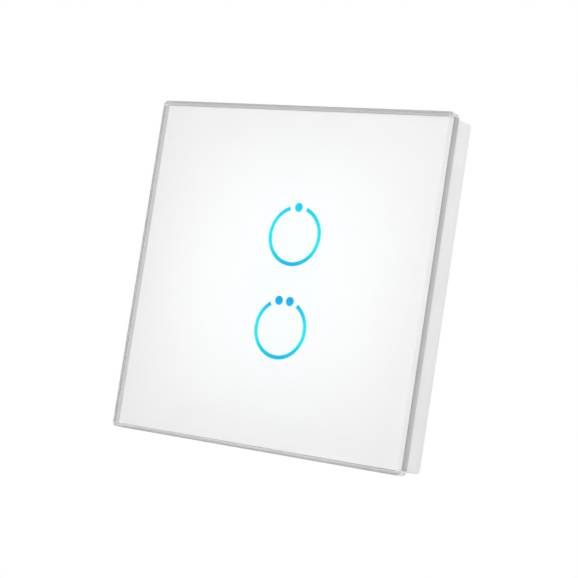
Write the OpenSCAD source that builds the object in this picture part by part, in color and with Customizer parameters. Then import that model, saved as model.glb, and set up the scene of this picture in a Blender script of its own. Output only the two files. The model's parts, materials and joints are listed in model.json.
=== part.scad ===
// Touch light switch of two gangs for a square wall box.
// A bevelled glass panel in a white frame snaps over a steel plate. The plate carries a module with the touch
// board, two relays and three wire terminals, and the module sits in the wall box.
// Each piece is drawn as seen from the front, with x to the right, y up and z out of the wall. upright() then
// stands it in the part's own frame: +Z up, the glass towards -Y and the wall at Y = 0.

/* [Glass panel] */
// Width and height of the square glass
panel_size = 86; // [82:0.5:100]
// Thickness of the glass
glass_thick = 3.2; // [2.4:0.1:5]
// Radius of the four corners of the glass
glass_corner_r = 1.2; // [0.8:0.1:4]
// Width of the polished bevel along the front edges
glass_bevel = 0.9; // [0.3:0.1:1.5]
// Depth of the bevel at the edge of the glass
bevel_depth = 0.5; // [0.2:0.1:1.5]
// Thickness of the white print behind the glass
print_thick = 0.2; // [0.1:0.05:0.5]
// Clear edge of the glass outside the print
print_margin = 1.1; // [0.5:0.1:2]

/* [Touch marks] */
// Diameter of each ring, on the middle of its line
ring_d = 14.2; // [12:0.1:16]
// Width of the ring's line
ring_line = 1; // [0.5:0.1:1.4]
// Diameter of the dots
dot_d = 2.3; // [1.4:0.1:2.6]
// Distance between the two dots of the lower mark
dot_pitch = 3.2; // [2.8:0.1:4]
// Distance from a dot to the end of the ring's line
dot_clear = 1.2; // [0.8:0.1:1.8]
// Distance between the two marks
mark_pitch = 23.2; // [22:0.1:28]
// Shift of the marks to the right of the panel's middle
mark_x = 3; // [-4:0.1:4]
// Shift of the pair of marks above the panel's middle
mark_y = -1; // [-4:0.1:4]

/* [Panel frame] */
// How far the frame stands in from the glass edge
frame_inset = 0.8; // [0.4:0.1:2]
// Depth of the frame from the wall to the tape
frame_depth = 7.6; // [7.4:0.1:12]
// Thickness of the frame's side walls
frame_wall = 2; // [1.4:0.1:2.6]
// Thickness of the frame's front rim
frame_rim = 1.4; // [1:0.1:1.6]
// Radius of the frame's corners
frame_corner_r = 0.8; // [0.6:0.1:3]
// Gap between the rim and the module inside it
rim_gap = 1.5; // [0.6:0.1:2.5]
// Thickness of the tape that bonds the glass to the rim
tape_thick = 0.2; // [0.1:0.05:0.5]
// Distance from the tape to the frame's edge
tape_edge = 0.6; // [0.3:0.1:1]
// Width of the tape
tape_w = 2.4; // [1.6:0.1:4]
// How far each catch stands out of the frame's wall
catch_depth = 0.8; // [0.5:0.1:1]
// Height of the flat top of each catch above the wall plane
catch_rise = 2.8; // [2.4:0.1:3]
// Length of each catch
catch_len = 10; // [6:0.5:14]
// Width of the notch where the panel is prised off
pry_w = 10; // [6:0.5:16]
// Height of that notch
pry_h = 1.6; // [1:0.1:3]

/* [Mounting plate] */
// Thickness of the steel plate
plate_thick = 1.2; // [1:0.1:1.4]
// Gap between the plate's edge and the frame's wall
plate_margin = 2.2; // [1.8:0.1:3]
// Radius of the plate's corners
plate_corner_r = 4; // [1:0.5:8]
// Distance between the two box screws
fixing_pitch = 60.3; // [58:0.1:64]
// Width of the slots for the box screws
slot_w = 4.2; // [3.8:0.1:5]
// Length of those slots from end to end
slot_len = 6.5; // [6:0.5:9]

/* [Panel clips] */
// Width of each spring clip
clip_w = 7; // [5:0.5:8]
// Thickness of the spring strip
clip_thick = 0.5; // [0.3:0.05:0.6]
// Length of the clip's foot on the plate
clip_foot = 7; // [5:0.5:9]
// Height of the clip's bend above the plate
clip_bend = 2.4; // [2.2:0.1:2.8]
// Height of the flank on each side of the bend
clip_flank = 1.2; // [0.9:0.1:1.3]
// Gap between the clip's bend and the frame's wall
clip_gap = 0.5; // [0.3:0.1:0.6]
// Gap between the clip and the module's flange
clip_side_gap = 0.8; // [0.4:0.1:1.5]
// Diameter of the clip's rivet
rivet_d = 2; // [1.6:0.1:2.6]
// Diameter of the rivet's head
rivet_head_d = 3.4; // [3:0.1:4.4]
// Height of the rivet's head
rivet_head_h = 0.6; // [0.4:0.1:1]

/* [Module housing] */
// Room from each box screw's centre to the side of the housing
fixing_room = 6.15; // [5.8:0.05:7]
// Height of the rear housing
house_h = 54; // [50:0.5:58]
// Thickness of the rear housing's walls
house_wall = 1.6; // [1.2:0.1:2]
// Thickness of the rear housing's back
house_floor = 1.8; // [1.2:0.1:2.4]
// Radius of the rear housing's corners
house_corner_r = 3; // [2.2:0.1:4]
// Gap between the housing and the window in the plate
plate_gap = 0.3; // [0.1:0.05:0.6]
// Thickness of the flange that lies on the plate
flange_thick = 1.6; // [1.2:0.1:2]
// How far the flange reaches past the housing at each side
flange_side = 1.5; // [1:0.1:2]
// How far the flange reaches past the housing at the top and the bottom
flange_end = 7; // [6.8:0.1:8]
// Width of the vents in the top of the housing
vent_w = 1.6; // [1:0.1:2.4]
// Distance between the vents
vent_pitch = 4; // [3:0.5:5]
// Number of vents
vent_count = 7; // [3:2:9]
// Thickness of the front housing's side walls
cover_wall = 1.4; // [1:0.1:2]
// Thickness of the front housing's face
cover_web = 1.2; // [0.8:0.1:1.4]
// Gap between the front housing's face and the print
cover_gap = 0.8; // [0.5:0.1:1.2]

/* [Housing screws] */
// Diameter of the screws that hold the module on the plate
screw_d = 2.4; // [2:0.1:3]
// Diameter of their heads
screw_head_d = 4.6; // [4:0.1:4.8]
// Height of their heads
screw_head_h = 1.6; // [1.2:0.1:2]
// Distance from the housing's side to the screws
screw_inset = 5; // [4.5:0.5:8]
// Thickness of the front housing under the heads
screw_seat = 1.6; // [1.2:0.1:2]

/* [Touch board] */
// Thickness of both circuit boards
board_thick = 1.6; // [1:0.1:1.8]
// Gap between the touch board and the front housing's face
board_gap = 1.2; // [1:0.1:1.3]
// Gap round the edges of both boards
board_edge = 0.4; // [0.2:0.1:1]
// Diameter of the pegs that hold the touch board
peg_d = 2; // [1.6:0.1:2.4]
// How far a light guide reaches past the dots
guide_lap = 0.5; // [0.3:0.1:0.8]
// Gap between a light guide and the print
guide_gap = 0.3; // [0.2:0.05:0.6]
// How far the guide's foot stands out
guide_foot = 0.8; // [0.5:0.1:1.2]
// Height of the guide's foot
guide_foot_h = 0.9; // [0.6:0.1:1]
// Number of lamps under each guide
led_count = 4; // [2:1:8]
// Length of a lamp
led_l = 2; // [1.6:0.1:2.4]
// Width of a lamp
led_w = 1.2; // [0.8:0.1:1.6]
// Height of a lamp
led_h = 0.8; // [0.5:0.1:1]
// Gap between a foam touch pad and its light guide
pad_side_gap = 0.8; // [0.4:0.1:1.5]
// Gap between a foam touch pad and the print
pad_gap = 0.1; // [0.05:0.05:0.4]
// Length of the touch chip
chip_l = 10; // [6:0.5:12]
// Width of the touch chip's body
chip_w = 4; // [3:0.5:6]
// Height of the touch chip
chip_h = 1.4; // [1:0.1:1.6]

/* [Power board] */
// Free height between the two boards
front_room = 12.4; // [10:0.1:16]
// Gap between the tall parts and the touch board
tall_gap = 2; // [1.8:0.1:3]
// Gap between the parts behind the power board and the housing's back
part_gap = 0.3; // [0.2:0.1:0.8]
// Diameter of the posts that carry the power board
post_d = 5.2; // [4.6:0.1:6]
// Diameter of the power board's screws
board_screw_d = 1.9; // [1.6:0.1:2.2]
// Diameter of their heads
board_screw_head_d = 3.6; // [3:0.1:4]
// Length of their shanks below the board
board_screw_len = 6; // [4:0.5:8]
// Number of pins between the boards
pin_count = 6; // [4:1:8]
// Distance between those pins
pin_pitch = 2.54; // [2:0.02:2.6]
// Thickness of the square pins
pin_w = 0.64; // [0.5:0.02:0.8]
// Height of the plastic that holds the pins
pin_base_h = 2.5; // [2:0.1:3]
// Width of the transformer's core
core_w = 13; // [11:0.5:15]
// Depth of the transformer's core
core_t = 5; // [4:0.5:6]
// Width of the core's outer legs and yokes
core_leg = 2; // [1.6:0.1:2.4]
// Thickness of the transformer's winding
core_wind = 2.4; // [1.6:0.1:2.4]
// Diameter of the two bulk capacitors
bulk_d = 9; // [6:0.5:10]
// Length of the film capacitor
film_l = 13; // [10:0.5:15]
// Width of the film capacitor
film_w = 6; // [5:0.5:7]
// How far the film capacitor stands short of the relays' height
film_short = 1; // [0.5:0.1:2]
// Diameter of the varistor's disc
varistor_d = 8.4; // [7:0.2:9]
// Thickness of the varistor's disc
varistor_t = 3.6; // [3:0.1:5]
// Diameter of the fuse
fuse_d = 8.4; // [6:0.2:9]
// Height of the fuse
fuse_h = 8; // [6:0.5:10]

/* [Relays] */
// Length of a relay
relay_len = 18; // [17.5:0.1:20]
// Width of a relay
relay_w = 10.2; // [10:0.1:12]
// Distance between the two relays
relay_pitch = 22; // [14:0.5:24]
// Thickness of a relay's cover
relay_skin = 0.6; // [0.5:0.05:0.8]
// Thickness of a relay's base
relay_base_t = 1.4; // [1:0.1:2]
// Thickness of the armature
arm_thick = 0.8; // [0.6:0.05:1]
// Thickness of the yoke
yoke_thick = 1; // [0.8:0.05:1.2]
// Open gap between the armature and the pole
pole_gap = 0.5; // [0.45:0.05:0.8]
// Diameter of the pole face
pole_d = 4.8; // [4:0.1:5]
// Diameter of the iron core
iron_d = 2.6; // [2:0.1:3]
// Angle that the armature swings through
arm_swing = 3; // [2:0.1:3.2]
// Diameter of the armature's pivot pins
pivot_d = 1; // [0.8:0.05:1.2]
// Running gap round the pivot pins
pivot_gap = 0.05; // [0.02:0.01:0.1]
// Diameter of the contact buttons
contact_d = 2; // [1.6:0.1:2.4]
// Thickness of the contact buttons
contact_h = 0.8; // [0.6:0.05:1]
// Thickness of the contact spring
leaf_thick = 0.2; // [0.1:0.02:0.25]

/* [Wire terminals] */
// Distance between the wire terminals
pole_pitch = 10; // [9:0.2:11]
// Diameter of the wire entries
wire_d = 4; // [3.4:0.1:4.4]
// Thickness of the terminal block's walls
block_wall = 1.5; // [1.2:0.1:2]
// Depth of the wire entries
entry_len = 4; // [3:0.5:5]
// Diameter of the clamp screws
clamp_screw_d = 2.9; // [2.4:0.1:3.4]
// Running gap between a clamp screw and its cage
thread_gap = 0.05; // [0.02:0.01:0.1]
// Diameter of the clamp screws' heads
clamp_head_d = 4.8; // [4.2:0.1:5.4]
// Height of the clamp screws' heads
clamp_head_h = 1.2; // [1:0.1:1.6]
// How far a clamp cage rises
clamp_travel = 2; // [1:0.1:2.5]
// Thickness of the cage's nut
nut_thick = 1.4; // [1:0.1:2]
// Thickness of the cage's sides and foot
cage_wall = 1; // [0.7:0.1:1.2]
// Depth of the cage along the wire
cage_len = 5.8; // [5:0.2:7]
// Thickness of the contact strips
strip_thick = 0.7; // [0.5:0.05:0.9]

/* [Hidden] */
$fn = 64;

// Overshoot of the cutting shapes, and the slack between pieces that are assembled and don't move
cut = 0.1;
slack = 0.1;
sides = [-1, 1];

// Heights from the wall plane outwards
plate_front = plate_thick;
flange_front = plate_front + flange_thick;
print_back = frame_depth + tape_thick;
glass_back = print_back + print_thick;
glass_front = glass_back + glass_thick;
cover_front = print_back - cover_gap;
web_back = cover_front - cover_web;
touch_front = web_back - board_gap;
touch_back = touch_front - board_thick;

// Outlines seen from the front
print_size = panel_size - 2 * print_margin;
frame_size = panel_size - 2 * frame_inset;
frame_in = frame_size - 2 * frame_wall;
plate_size = frame_in - 2 * plate_margin;
house_w = fixing_pitch - 2 * fixing_room;
house_in_w = house_w - 2 * house_wall;
house_in_h = house_h - 2 * house_wall;
house_in_r = house_corner_r - house_wall;
flange_w = house_w + 2 * flange_side;
flange_h = house_h + 2 * flange_end;
rim_window = max(flange_w, flange_h) + 2 * rim_gap;
screw_x = house_w / 2 - screw_inset;
screw_y = house_h / 2 + flange_end / 2;
head_gap = 0.3;
well_wall = 0.7;
well_r = screw_head_d / 2 + head_gap + well_wall;

// Touch marks, light guides and the touch board
mark_rise = [mark_y + mark_pitch / 2, mark_y - mark_pitch / 2];
guide_d = ring_d + dot_d + 2 * guide_lap;
guide_in_d = ring_d - dot_d - 2 * guide_lap;
guide_hole_d = guide_d + 4 * slack;
led_gap = 0.3;
touch_w = flange_w - 2 * (cover_wall + board_edge);
touch_h = 2 * (screw_y - well_r - board_edge);
peg_inset = 2.6;
peg_shoulder = 1;
peg_boss_d = peg_d + 2 * peg_shoulder;

// Clips and catches
clip_x = flange_w / 2 + clip_side_gap + clip_w / 2;
clip_out = plate_size / 2 + clip_thick;
clip_foot_y = clip_out - clip_foot;
clip_tip = frame_in / 2 - clip_gap;
clip_top = 0.8;
clip_lean = 0.5;
rivet_y = clip_foot_y + clip_foot / 2 - clip_thick;

// Terminal block, from the back of the housing forwards
wire_gap = 0.2;
lip = 0.8;
cage_clear = 0.3;
head_floor = clamp_head_h + slack;
chamber_back = head_floor + lip;
cage_back = chamber_back + clamp_travel + slack;
strip_back = cage_back + nut_thick + wire_gap;
wire_depth = strip_back + strip_thick + wire_gap + wire_d / 2;
cage_floor = wire_depth + wire_d / 2 + wire_gap;
cage_front = cage_floor + cage_wall;
chamber_front = cage_front + cage_clear;
block_depth = chamber_front + block_wall;

// Levels behind the wall plane
power_front = touch_back - front_room;
power_back = power_front - board_thick;
house_back = power_back - block_depth;
back_room = block_depth - house_floor;
power_w = house_in_w - 2 * board_edge;
power_h = house_in_h - 2 * board_edge;
tall_h = front_room - tall_gap;
post_bite = 0.3;
post_x = house_in_w / 2 - post_d / 2 + post_bite;
post_y = house_in_h / 2 - post_d / 2 + post_bite;

// Terminal places
pole_count = 3;
pole_x = [for (i = [0:pole_count - 1]) (i - (pole_count - 1) / 2) * pole_pitch];
cage_w = wire_d + 2 * (cage_wall + wire_gap);
block_w = (pole_count - 1) * pole_pitch + cage_w + 2 * (cage_clear + block_wall);
block_bottom = -house_h / 2;
chamber_low = block_bottom + entry_len;
cage_low = chamber_low + cage_clear;
cage_mid = cage_low + cage_len / 2;
leg_low = cage_low + cage_len + cage_clear;
chamber_high = leg_low + strip_thick + slack;
block_top = chamber_high + block_wall;
leg_w = 1.2;

// Parts behind the power board stand in a row above the terminal block, and the relays above them
row_gap = 1.5;
wall_room = 2;
header_inset = 5;
bulk_inset = 4;
row_y = block_top + row_gap + max(film_w, varistor_t, fuse_d) / 2;
row_x = house_in_w / 2 - film_l / 2 - wall_room;
relay_y = house_in_h / 2 - relay_len / 2 - wall_room;
relay_x = [-relay_pitch / 2, relay_pitch / 2];
header_y = block_bottom + house_wall + board_edge + header_inset;
bulk_x = -house_in_w / 2 + bulk_d / 2 + bulk_inset;
core_x = 8;
core_y = 6;

// Relay levels above its board, and places along its length
relay_h = back_room - part_gap;
arm_room = 0.4;
knuckle_wall = 0.4;
ear_wall = 0.6;
knuckle_r = pivot_d / 2 + knuckle_wall;
ear_r = pivot_d / 2 + ear_wall;
arm_top = relay_h - relay_skin - arm_room;
arm_bottom = arm_top - arm_thick;
pole_top = arm_bottom - pole_gap;
pole_thick = 0.4;
bobbin_top = pole_top - pole_thick;
bobbin_bottom = relay_base_t + yoke_thick;
bobbin_flange = 0.6;
bobbin_room = 0.5;
bobbin_tube = 0.6;
wind_step = 0.3;
bobbin_d = relay_w - 2 * (relay_skin + bobbin_room);
bobbin_tube_d = iron_d + 2 * bobbin_tube;
pivot_u = relay_len / 2 - relay_skin - ear_r - slack;
pivot_w = arm_top - knuckle_r;
coil_u = pivot_u - yoke_thick / 2 - bobbin_room - bobbin_d / 2;
arm_side = 1.6;
arm_lap = 0.4;
ear_thick = 1;
arm_half = relay_w / 2 - relay_skin - arm_side;
ear_in = arm_half + slack;
ear_out = ear_in + ear_thick;
arm_tip = coil_u - pole_d / 2 - arm_lap;
contact_inset = 2.8;
contact_rim = 0.4;
contact_gap = 0.05;
post_gap = 0.7;
contact_u = -(relay_len / 2 - relay_skin - contact_inset);
contact_half = contact_d / 2 + contact_rim;
post_u = contact_u - contact_d / 2 - post_gap;
relay_pin_d = 0.9;
yoke_pin_inset = 1.6;
yoke_pin_u = pivot_u - yoke_pin_inset;
contact_reach = pivot_u - contact_u + contact_d / 2;
button_low = arm_top - contact_h;
button_drop = contact_reach * sin(arm_swing);
fixed_top = pivot_w + (button_low - pivot_w) * cos(arm_swing) - button_drop - contact_gap;
fixed_tab = 0.6;

// Shared shapes

module upright() {
    rotate([90, 0, 0]) children();
}

module rounded_rect(w, h, r) {
    square([w - 2 * r, h], center = true);
    square([w, h - 2 * r], center = true);
    for (x = sides, y = sides)
        translate([x * (w / 2 - r), y * (h / 2 - r)]) circle(r);
}

// A flat plate with round corners between two heights
module slab(w, h, r, low, high) {
    translate([0, 0, low]) linear_extrude(high - low) rounded_rect(w, h, r);
}

// A block between two corners
module block(low, high) {
    translate(low) cube(high - low);
}

// A round bar along z
module rod(x, y, d, low, high) {
    translate([x, y, low]) cylinder(h = high - low, d = d);
}

// A round bar along y, centred on the relay's pivot line or a wire entry
module cross_rod(x, z, d, low, high) {
    translate([x, low, z]) rotate([-90, 0, 0]) cylinder(h = high - low, d = d);
}

// An outline given in y and z, drawn out along x
module profile(points, w) {
    rotate([90, 0, 90]) linear_extrude(w, center = true) polygon(points);
}

module at_screws() {
    for (x = sides, y = sides) translate([x * screw_x, y * screw_y, 0]) children();
}

module at_clips() {
    for (x = sides) translate([x * clip_x, 0, 0]) {
        children();
        mirror([0, 1, 0]) children();
    }
}

module at_posts() {
    for (x = sides, y = sides) translate([x * post_x, y * post_y, 0]) children();
}

module at_pegs() {
    for (x = sides, y = sides)
        translate([x * (touch_w / 2 - peg_inset), y * (touch_h / 2 - peg_inset), 0]) children();
}

module at_leds(mark) {
    for (i = [0:led_count - 1])
        translate([mark_x, mark_rise[mark], 0]) rotate((i + 0.5) * 360 / led_count)
            translate([ring_d / 2, 0, 0]) children();
}

// A pan-head screw along z, its head on the height seat, with a cross cut in the head
module cross_screw(d, head_d, head_h, seat, tip) {
    recess = head_d * 0.55;
    recess_w = head_d * 0.16;
    recess_floor = seat + head_h * 0.4;
    difference() {
        union() {
            rod(0, 0, head_d, seat, seat + head_h);
            rod(0, 0, d, tip, seat + slack);
        }
        for (a = [0, 90]) rotate(a) block(
            [-recess / 2, -recess_w / 2, recess_floor],
            [recess / 2, recess_w / 2, seat + head_h + cut]
        );
    }
}

// Front panel

module glass_panel() {
    // The wedge's long side lies in the bevel, and its other two sides stand clear of the glass
    spare = cut / min(glass_bevel, bevel_depth);
    wedge = [
        [-glass_bevel * (1 + spare), bevel_depth * spare],
        [glass_bevel * spare, -bevel_depth * (1 + spare)],
        [glass_bevel * spare, bevel_depth * spare]
    ];
    color([0.9, 0.95, 0.95, 0.4]) difference() {
        slab(panel_size, panel_size, glass_corner_r, glass_back, glass_front);
        for (a = [0:90:270]) rotate(a)
            translate([panel_size / 2, 0, glass_front]) rotate([90, 0, 0])
                linear_extrude(panel_size + 2 * cut, center = true) polygon(wedge);
    }
}

// One ring with a gap at its top and its dots in the gap
module mark(dots) {
    dot_step = 2 * asin(dot_pitch / ring_d);
    gap_half = (dots - 1) / 2 * dot_step + asin((dot_d / 2 + dot_clear) / (ring_d / 2));
    difference() {
        circle(d = ring_d + ring_line);
        circle(d = ring_d - ring_line);
        polygon([[0, 0], ring_d * [-sin(gap_half), cos(gap_half)], ring_d * [sin(gap_half), cos(gap_half)]]);
    }
    for (i = [0:dots - 1]) rotate((i - (dots - 1) / 2) * dot_step)
        translate([0, ring_d / 2]) circle(d = dot_d);
}

module white_print() {
    color("white") translate([0, 0, print_back]) linear_extrude(print_thick) difference() {
        rounded_rect(print_size, print_size, glass_corner_r);
        for (i = [0, 1]) translate([mark_x, mark_rise[i]]) mark(i + 1);
    }
}

module bonding_tape() {
    outer = frame_size - 2 * tape_edge;
    inner = outer - 2 * tape_w;
    color("gainsboro") difference() {
        slab(outer, outer, frame_corner_r, frame_depth, print_back);
        slab(inner, inner, frame_corner_r, frame_depth - cut, print_back + cut);
    }
}

module panel_frame() {
    wall_y = frame_in / 2;
    catch_y = wall_y - catch_depth;
    catch_lead = 0.5;
    color("white") difference() {
        union() {
            difference() {
                slab(frame_size, frame_size, frame_corner_r, 0, frame_depth);
                slab(frame_in, frame_in, frame_corner_r, -cut, frame_depth - frame_rim);
                slab(rim_window, rim_window, frame_corner_r, -cut, frame_depth + cut);
            }
            at_clips() profile([
                [wall_y + cut, catch_rise - catch_lead - catch_depth],
                [wall_y, catch_rise - catch_lead - catch_depth],
                [catch_y, catch_rise - catch_lead],
                [catch_y, catch_rise],
                [wall_y + cut, catch_rise]
            ], catch_len);
        }
        block([-pry_w / 2, -frame_size / 2 - cut, -cut], [pry_w / 2, -frame_in / 2 + cut, pry_h]);
    }
}

// Mounting plate and clips

module mounting_plate() {
    color("silver") difference() {
        slab(plate_size, plate_size, plate_corner_r, 0, plate_front);
        slab(
            house_w + 2 * plate_gap, house_h + 2 * plate_gap, house_corner_r + plate_gap,
            -cut, plate_front + cut
        );
        for (x = sides) translate([x * fixing_pitch / 2, 0, -cut]) linear_extrude(plate_thick + 2 * cut) {
            square([slot_len - slot_w, slot_w], center = true);
            for (end = sides) translate([end * (slot_len - slot_w) / 2, 0]) circle(d = slot_w);
        }
        at_screws() rod(0, 0, screw_d + slack, -cut, plate_front + cut);
        at_clips() rod(0, rivet_y, rivet_d + slack, -cut, plate_front + cut);
    }
}

module panel_clips() {
    bend = plate_front + clip_bend;
    inner_y = clip_out - clip_thick;
    color("lightsteelblue") at_clips() difference() {
        profile([
            [clip_foot_y, plate_front],
            [clip_out, plate_front],
            [clip_out, bend - clip_flank],
            [clip_tip, bend],
            [clip_out, bend + clip_flank],
            [clip_out - clip_lean, bend + clip_flank + clip_top],
            [inner_y - clip_lean, bend + clip_flank + clip_top],
            [inner_y, bend + clip_flank],
            [clip_tip - clip_thick, bend],
            [inner_y, bend - clip_flank],
            [inner_y, plate_front + clip_thick],
            [clip_foot_y, plate_front + clip_thick]
        ], clip_w);
        rod(0, rivet_y, rivet_d + slack, plate_front - cut, plate_front + clip_thick + cut);
    }
}

module clip_rivets() {
    seat = plate_front + clip_thick;
    color("gray") at_clips() {
        rod(0, rivet_y, rivet_head_d, seat, seat + rivet_head_h);
        rod(0, rivet_y, rivet_d, slack, seat + cut);
    }
}

// Module shells

module front_housing() {
    seat = flange_front + screw_seat;
    inner_w = flange_w - 2 * cover_wall;
    inner_h = flange_h - 2 * cover_wall;
    color("whitesmoke") difference() {
        union() {
            difference() {
                slab(flange_w, flange_h, house_corner_r, flange_front, cover_front);
                slab(inner_w, inner_h, house_in_r, flange_front - cut, web_back);
            }
            at_screws() rod(0, 0, 2 * well_r, flange_front, cover_front);
            at_pegs() {
                rod(0, 0, peg_boss_d, touch_front, web_back + cut);
                rod(0, 0, peg_d, touch_back - slack, touch_front + cut);
            }
        }
        for (rise = mark_rise) rod(mark_x, rise, guide_hole_d, web_back - cut, cover_front + cut);
        at_screws() {
            rod(0, 0, screw_head_d + 2 * head_gap, seat, cover_front + cut);
            rod(0, 0, screw_d + 2 * slack, flange_front - cut, seat + cut);
        }
    }
}

module rear_housing() {
    floor_top = house_back + house_floor;
    vent_end = 2;
    color("whitesmoke") difference() {
        union() {
            difference() {
                union() {
                    slab(house_w, house_h, house_corner_r, house_back, flange_front);
                    slab(flange_w, flange_h, house_corner_r, plate_front, flange_front);
                }
                slab(house_in_w, house_in_h, house_in_r, floor_top, flange_front + cut);
            }
            at_posts() rod(0, 0, post_d, floor_top - cut, power_back);
        }
        at_posts() rod(0, 0, board_screw_d + slack, power_back - board_screw_len - slack, power_back + cut);
        at_screws() rod(0, 0, screw_d + 2 * slack, plate_front - cut, flange_front + cut);
        block(
            [-block_w / 2 - slack, -house_h / 2 - cut, house_back - cut],
            [block_w / 2 + slack, block_top + slack, power_back]
        );
        for (i = [0:vent_count - 1]) translate([(i - (vent_count - 1) / 2) * vent_pitch, 0, 0]) block(
            [-vent_w / 2, house_in_h / 2 - cut, floor_top + vent_end],
            [vent_w / 2, house_h / 2 + cut, power_back - vent_end]
        );
    }
}

module housing_screws() {
    color("silver") at_screws()
        cross_screw(screw_d, screw_head_d, screw_head_h, flange_front + screw_seat, slack);
}

// Touch board and its parts

module light_guide(mark) {
    pocket_l = led_l + 2 * led_gap;
    pocket_w = led_w + 2 * led_gap;
    color("aliceblue") difference() {
        union() {
            rod(mark_x, mark_rise[mark], guide_d, touch_front, print_back - guide_gap);
            rod(mark_x, mark_rise[mark], guide_d + 2 * guide_foot, touch_front, touch_front + guide_foot_h);
        }
        rod(mark_x, mark_rise[mark], guide_in_d, touch_front - cut, print_back);
        at_leds(mark) block(
            [-pocket_w / 2, -pocket_l / 2, touch_front - cut],
            [pocket_w / 2, pocket_l / 2, touch_front + led_h + led_gap]
        );
    }
}

module touch_pads() {
    color("dimgray") for (rise = mark_rise)
        rod(mark_x, rise, guide_in_d - 2 * pad_side_gap, touch_front, print_back - pad_gap);
}

module touch_board() {
    color("seagreen") difference() {
        slab(touch_w, touch_h, house_in_r, touch_back, touch_front);
        at_pegs() rod(0, 0, peg_d + slack, touch_back - cut, touch_front + cut);
    }
}

module indicator_leds() {
    lens = 0.3;
    color("cyan") for (mark = [0, 1]) at_leds(mark) {
        block([-led_w / 2, -led_l / 2, touch_front], [led_w / 2, led_l / 2, touch_front + led_h / 2]);
        block(
            [-led_w / 2, -led_l / 2 + lens, touch_front + led_h / 2 - cut],
            [led_w / 2, led_l / 2 - lens, touch_front + led_h]
        );
    }
}

module touch_chip() {
    lead_count = 8;
    lead_pitch = chip_l / lead_count;
    lead_w = lead_pitch / 3;
    lead_out = 1;
    lead_thick = 0.3;
    color("black") translate([0, mark_y, 0]) {
        block([-chip_l / 2, -chip_w / 2, touch_back - chip_h], [chip_l / 2, chip_w / 2, touch_back]);
        for (i = [0:lead_count - 1]) translate([(i - (lead_count - 1) / 2) * lead_pitch, 0, 0]) block(
            [-lead_w / 2, -chip_w / 2 - lead_out, touch_back - lead_thick],
            [lead_w / 2, chip_w / 2 + lead_out, touch_back]
        );
    }
}

// Small resistors and capacitors in two rows behind the touch board
module chip_parts() {
    count = 6;
    part_l = 2;
    part_w = 1.2;
    part_h = 0.6;
    row_room = 4;
    rows_apart = chip_w / 2 + row_room;
    color("peru") for (i = [0:count - 1], y = sides)
        translate([(i - (count - 1) / 2) * 2 * part_l, mark_y + y * rows_apart, 0])
            block([-part_l / 2, -part_w / 2, touch_back - part_h], [part_l / 2, part_w / 2, touch_back]);
}

// Plug joint between the boards

module at_pins() {
    for (i = [0:pin_count - 1]) translate([(i - (pin_count - 1) / 2) * pin_pitch, header_y, 0]) children();
}

module pin_strip(low, high) {
    strip_l = pin_count * pin_pitch;
    difference() {
        translate([0, header_y, 0])
            block([-strip_l / 2, -pin_pitch / 2, low], [strip_l / 2, pin_pitch / 2, high]);
        at_pins() block(
            [-pin_w / 2 - slack, -pin_w / 2 - slack, low - cut],
            [pin_w / 2 + slack, pin_w / 2 + slack, high + cut]
        );
    }
}

module header_socket() {
    color("black") pin_strip(power_front + pin_base_h + tall_gap, touch_back);
}

module header_base() {
    color("black") pin_strip(power_front, power_front + pin_base_h);
}

module header_pins() {
    color("gold") at_pins() block(
        [-pin_w / 2, -pin_w / 2, power_back + slack],
        [pin_w / 2, pin_w / 2, touch_back - tall_gap]
    );
}

// Power board and the parts on it

module power_board() {
    leg_room = 0.3;
    solder_d = leg_w + 2 * leg_room;
    color("darkgreen") difference() {
        slab(power_w, power_h, house_in_r, power_back, power_front);
        at_posts() rod(0, 0, board_screw_d + 4 * slack, power_back - cut, power_front + cut);
        at_pins() rod(0, 0, 2 * pin_w, power_back - cut, power_front + cut);
        for (x = pole_x) rod(x, leg_low + strip_thick / 2, solder_d, power_back - cut, power_front + cut);
        for (x = relay_x, u = [post_u, yoke_pin_u])
            rod(x, relay_y - u, relay_pin_d + 4 * slack, power_back - cut, power_front + cut);
    }
}

module board_screws() {
    head_h = 1.2;
    color("silver") at_posts()
        cross_screw(board_screw_d, board_screw_head_d, head_h, power_front, power_back - board_screw_len);
}

module transformer_core() {
    window_w = (core_w - 2 * core_leg - core_mid_leg()) / 2;
    color("dimgray") translate([core_x, core_y, 0]) difference() {
        block([-core_w / 2, -core_t / 2, power_front], [core_w / 2, core_t / 2, power_front + tall_h]);
        for (x = sides) translate([x * (core_mid_leg() + window_w) / 2, 0, 0]) block(
            [-window_w / 2, -core_t / 2 - cut, power_front + core_leg],
            [window_w / 2, core_t / 2 + cut, power_front + tall_h - core_leg]
        );
    }
}

// Width of the middle leg that the winding goes round
function core_mid_leg() = core_w - 2 * core_leg - 2 * (core_wind + 2 * slack);

module transformer_coil() {
    bore = slack / 2;
    color("goldenrod") translate([core_x, core_y, 0]) difference() {
        slab(
            core_mid_leg() + 2 * core_wind, core_t + 2 * core_wind, core_wind / 2,
            power_front + core_leg + slack, power_front + tall_h - core_leg - slack
        );
        block(
            [-core_mid_leg() / 2 - bore, -core_t / 2 - bore, power_front],
            [core_mid_leg() / 2 + bore, core_t / 2 + bore, power_front + tall_h]
        );
    }
}

module bulk_capacitors() {
    groove = 0.4;
    groove_rise = 1.5;
    can_gap = 1.5;
    color("midnightblue") for (y = sides) difference() {
        rod(bulk_x, core_y + y * (bulk_d + can_gap) / 2, bulk_d, power_front, power_front + tall_h);
        translate([bulk_x, core_y + y * (bulk_d + can_gap) / 2, power_front + groove_rise]) difference() {
            cylinder(h = groove, d = bulk_d + cut);
            translate([0, 0, -cut]) cylinder(h = groove + 2 * cut, d = bulk_d - 2 * groove);
        }
    }
}

module film_capacitor() {
    film_h = relay_h - film_short;
    color("gold") translate([-row_x, row_y, 0])
        block([-film_l / 2, -film_w / 2, power_back - film_h], [film_l / 2, film_w / 2, power_back]);
}

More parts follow.
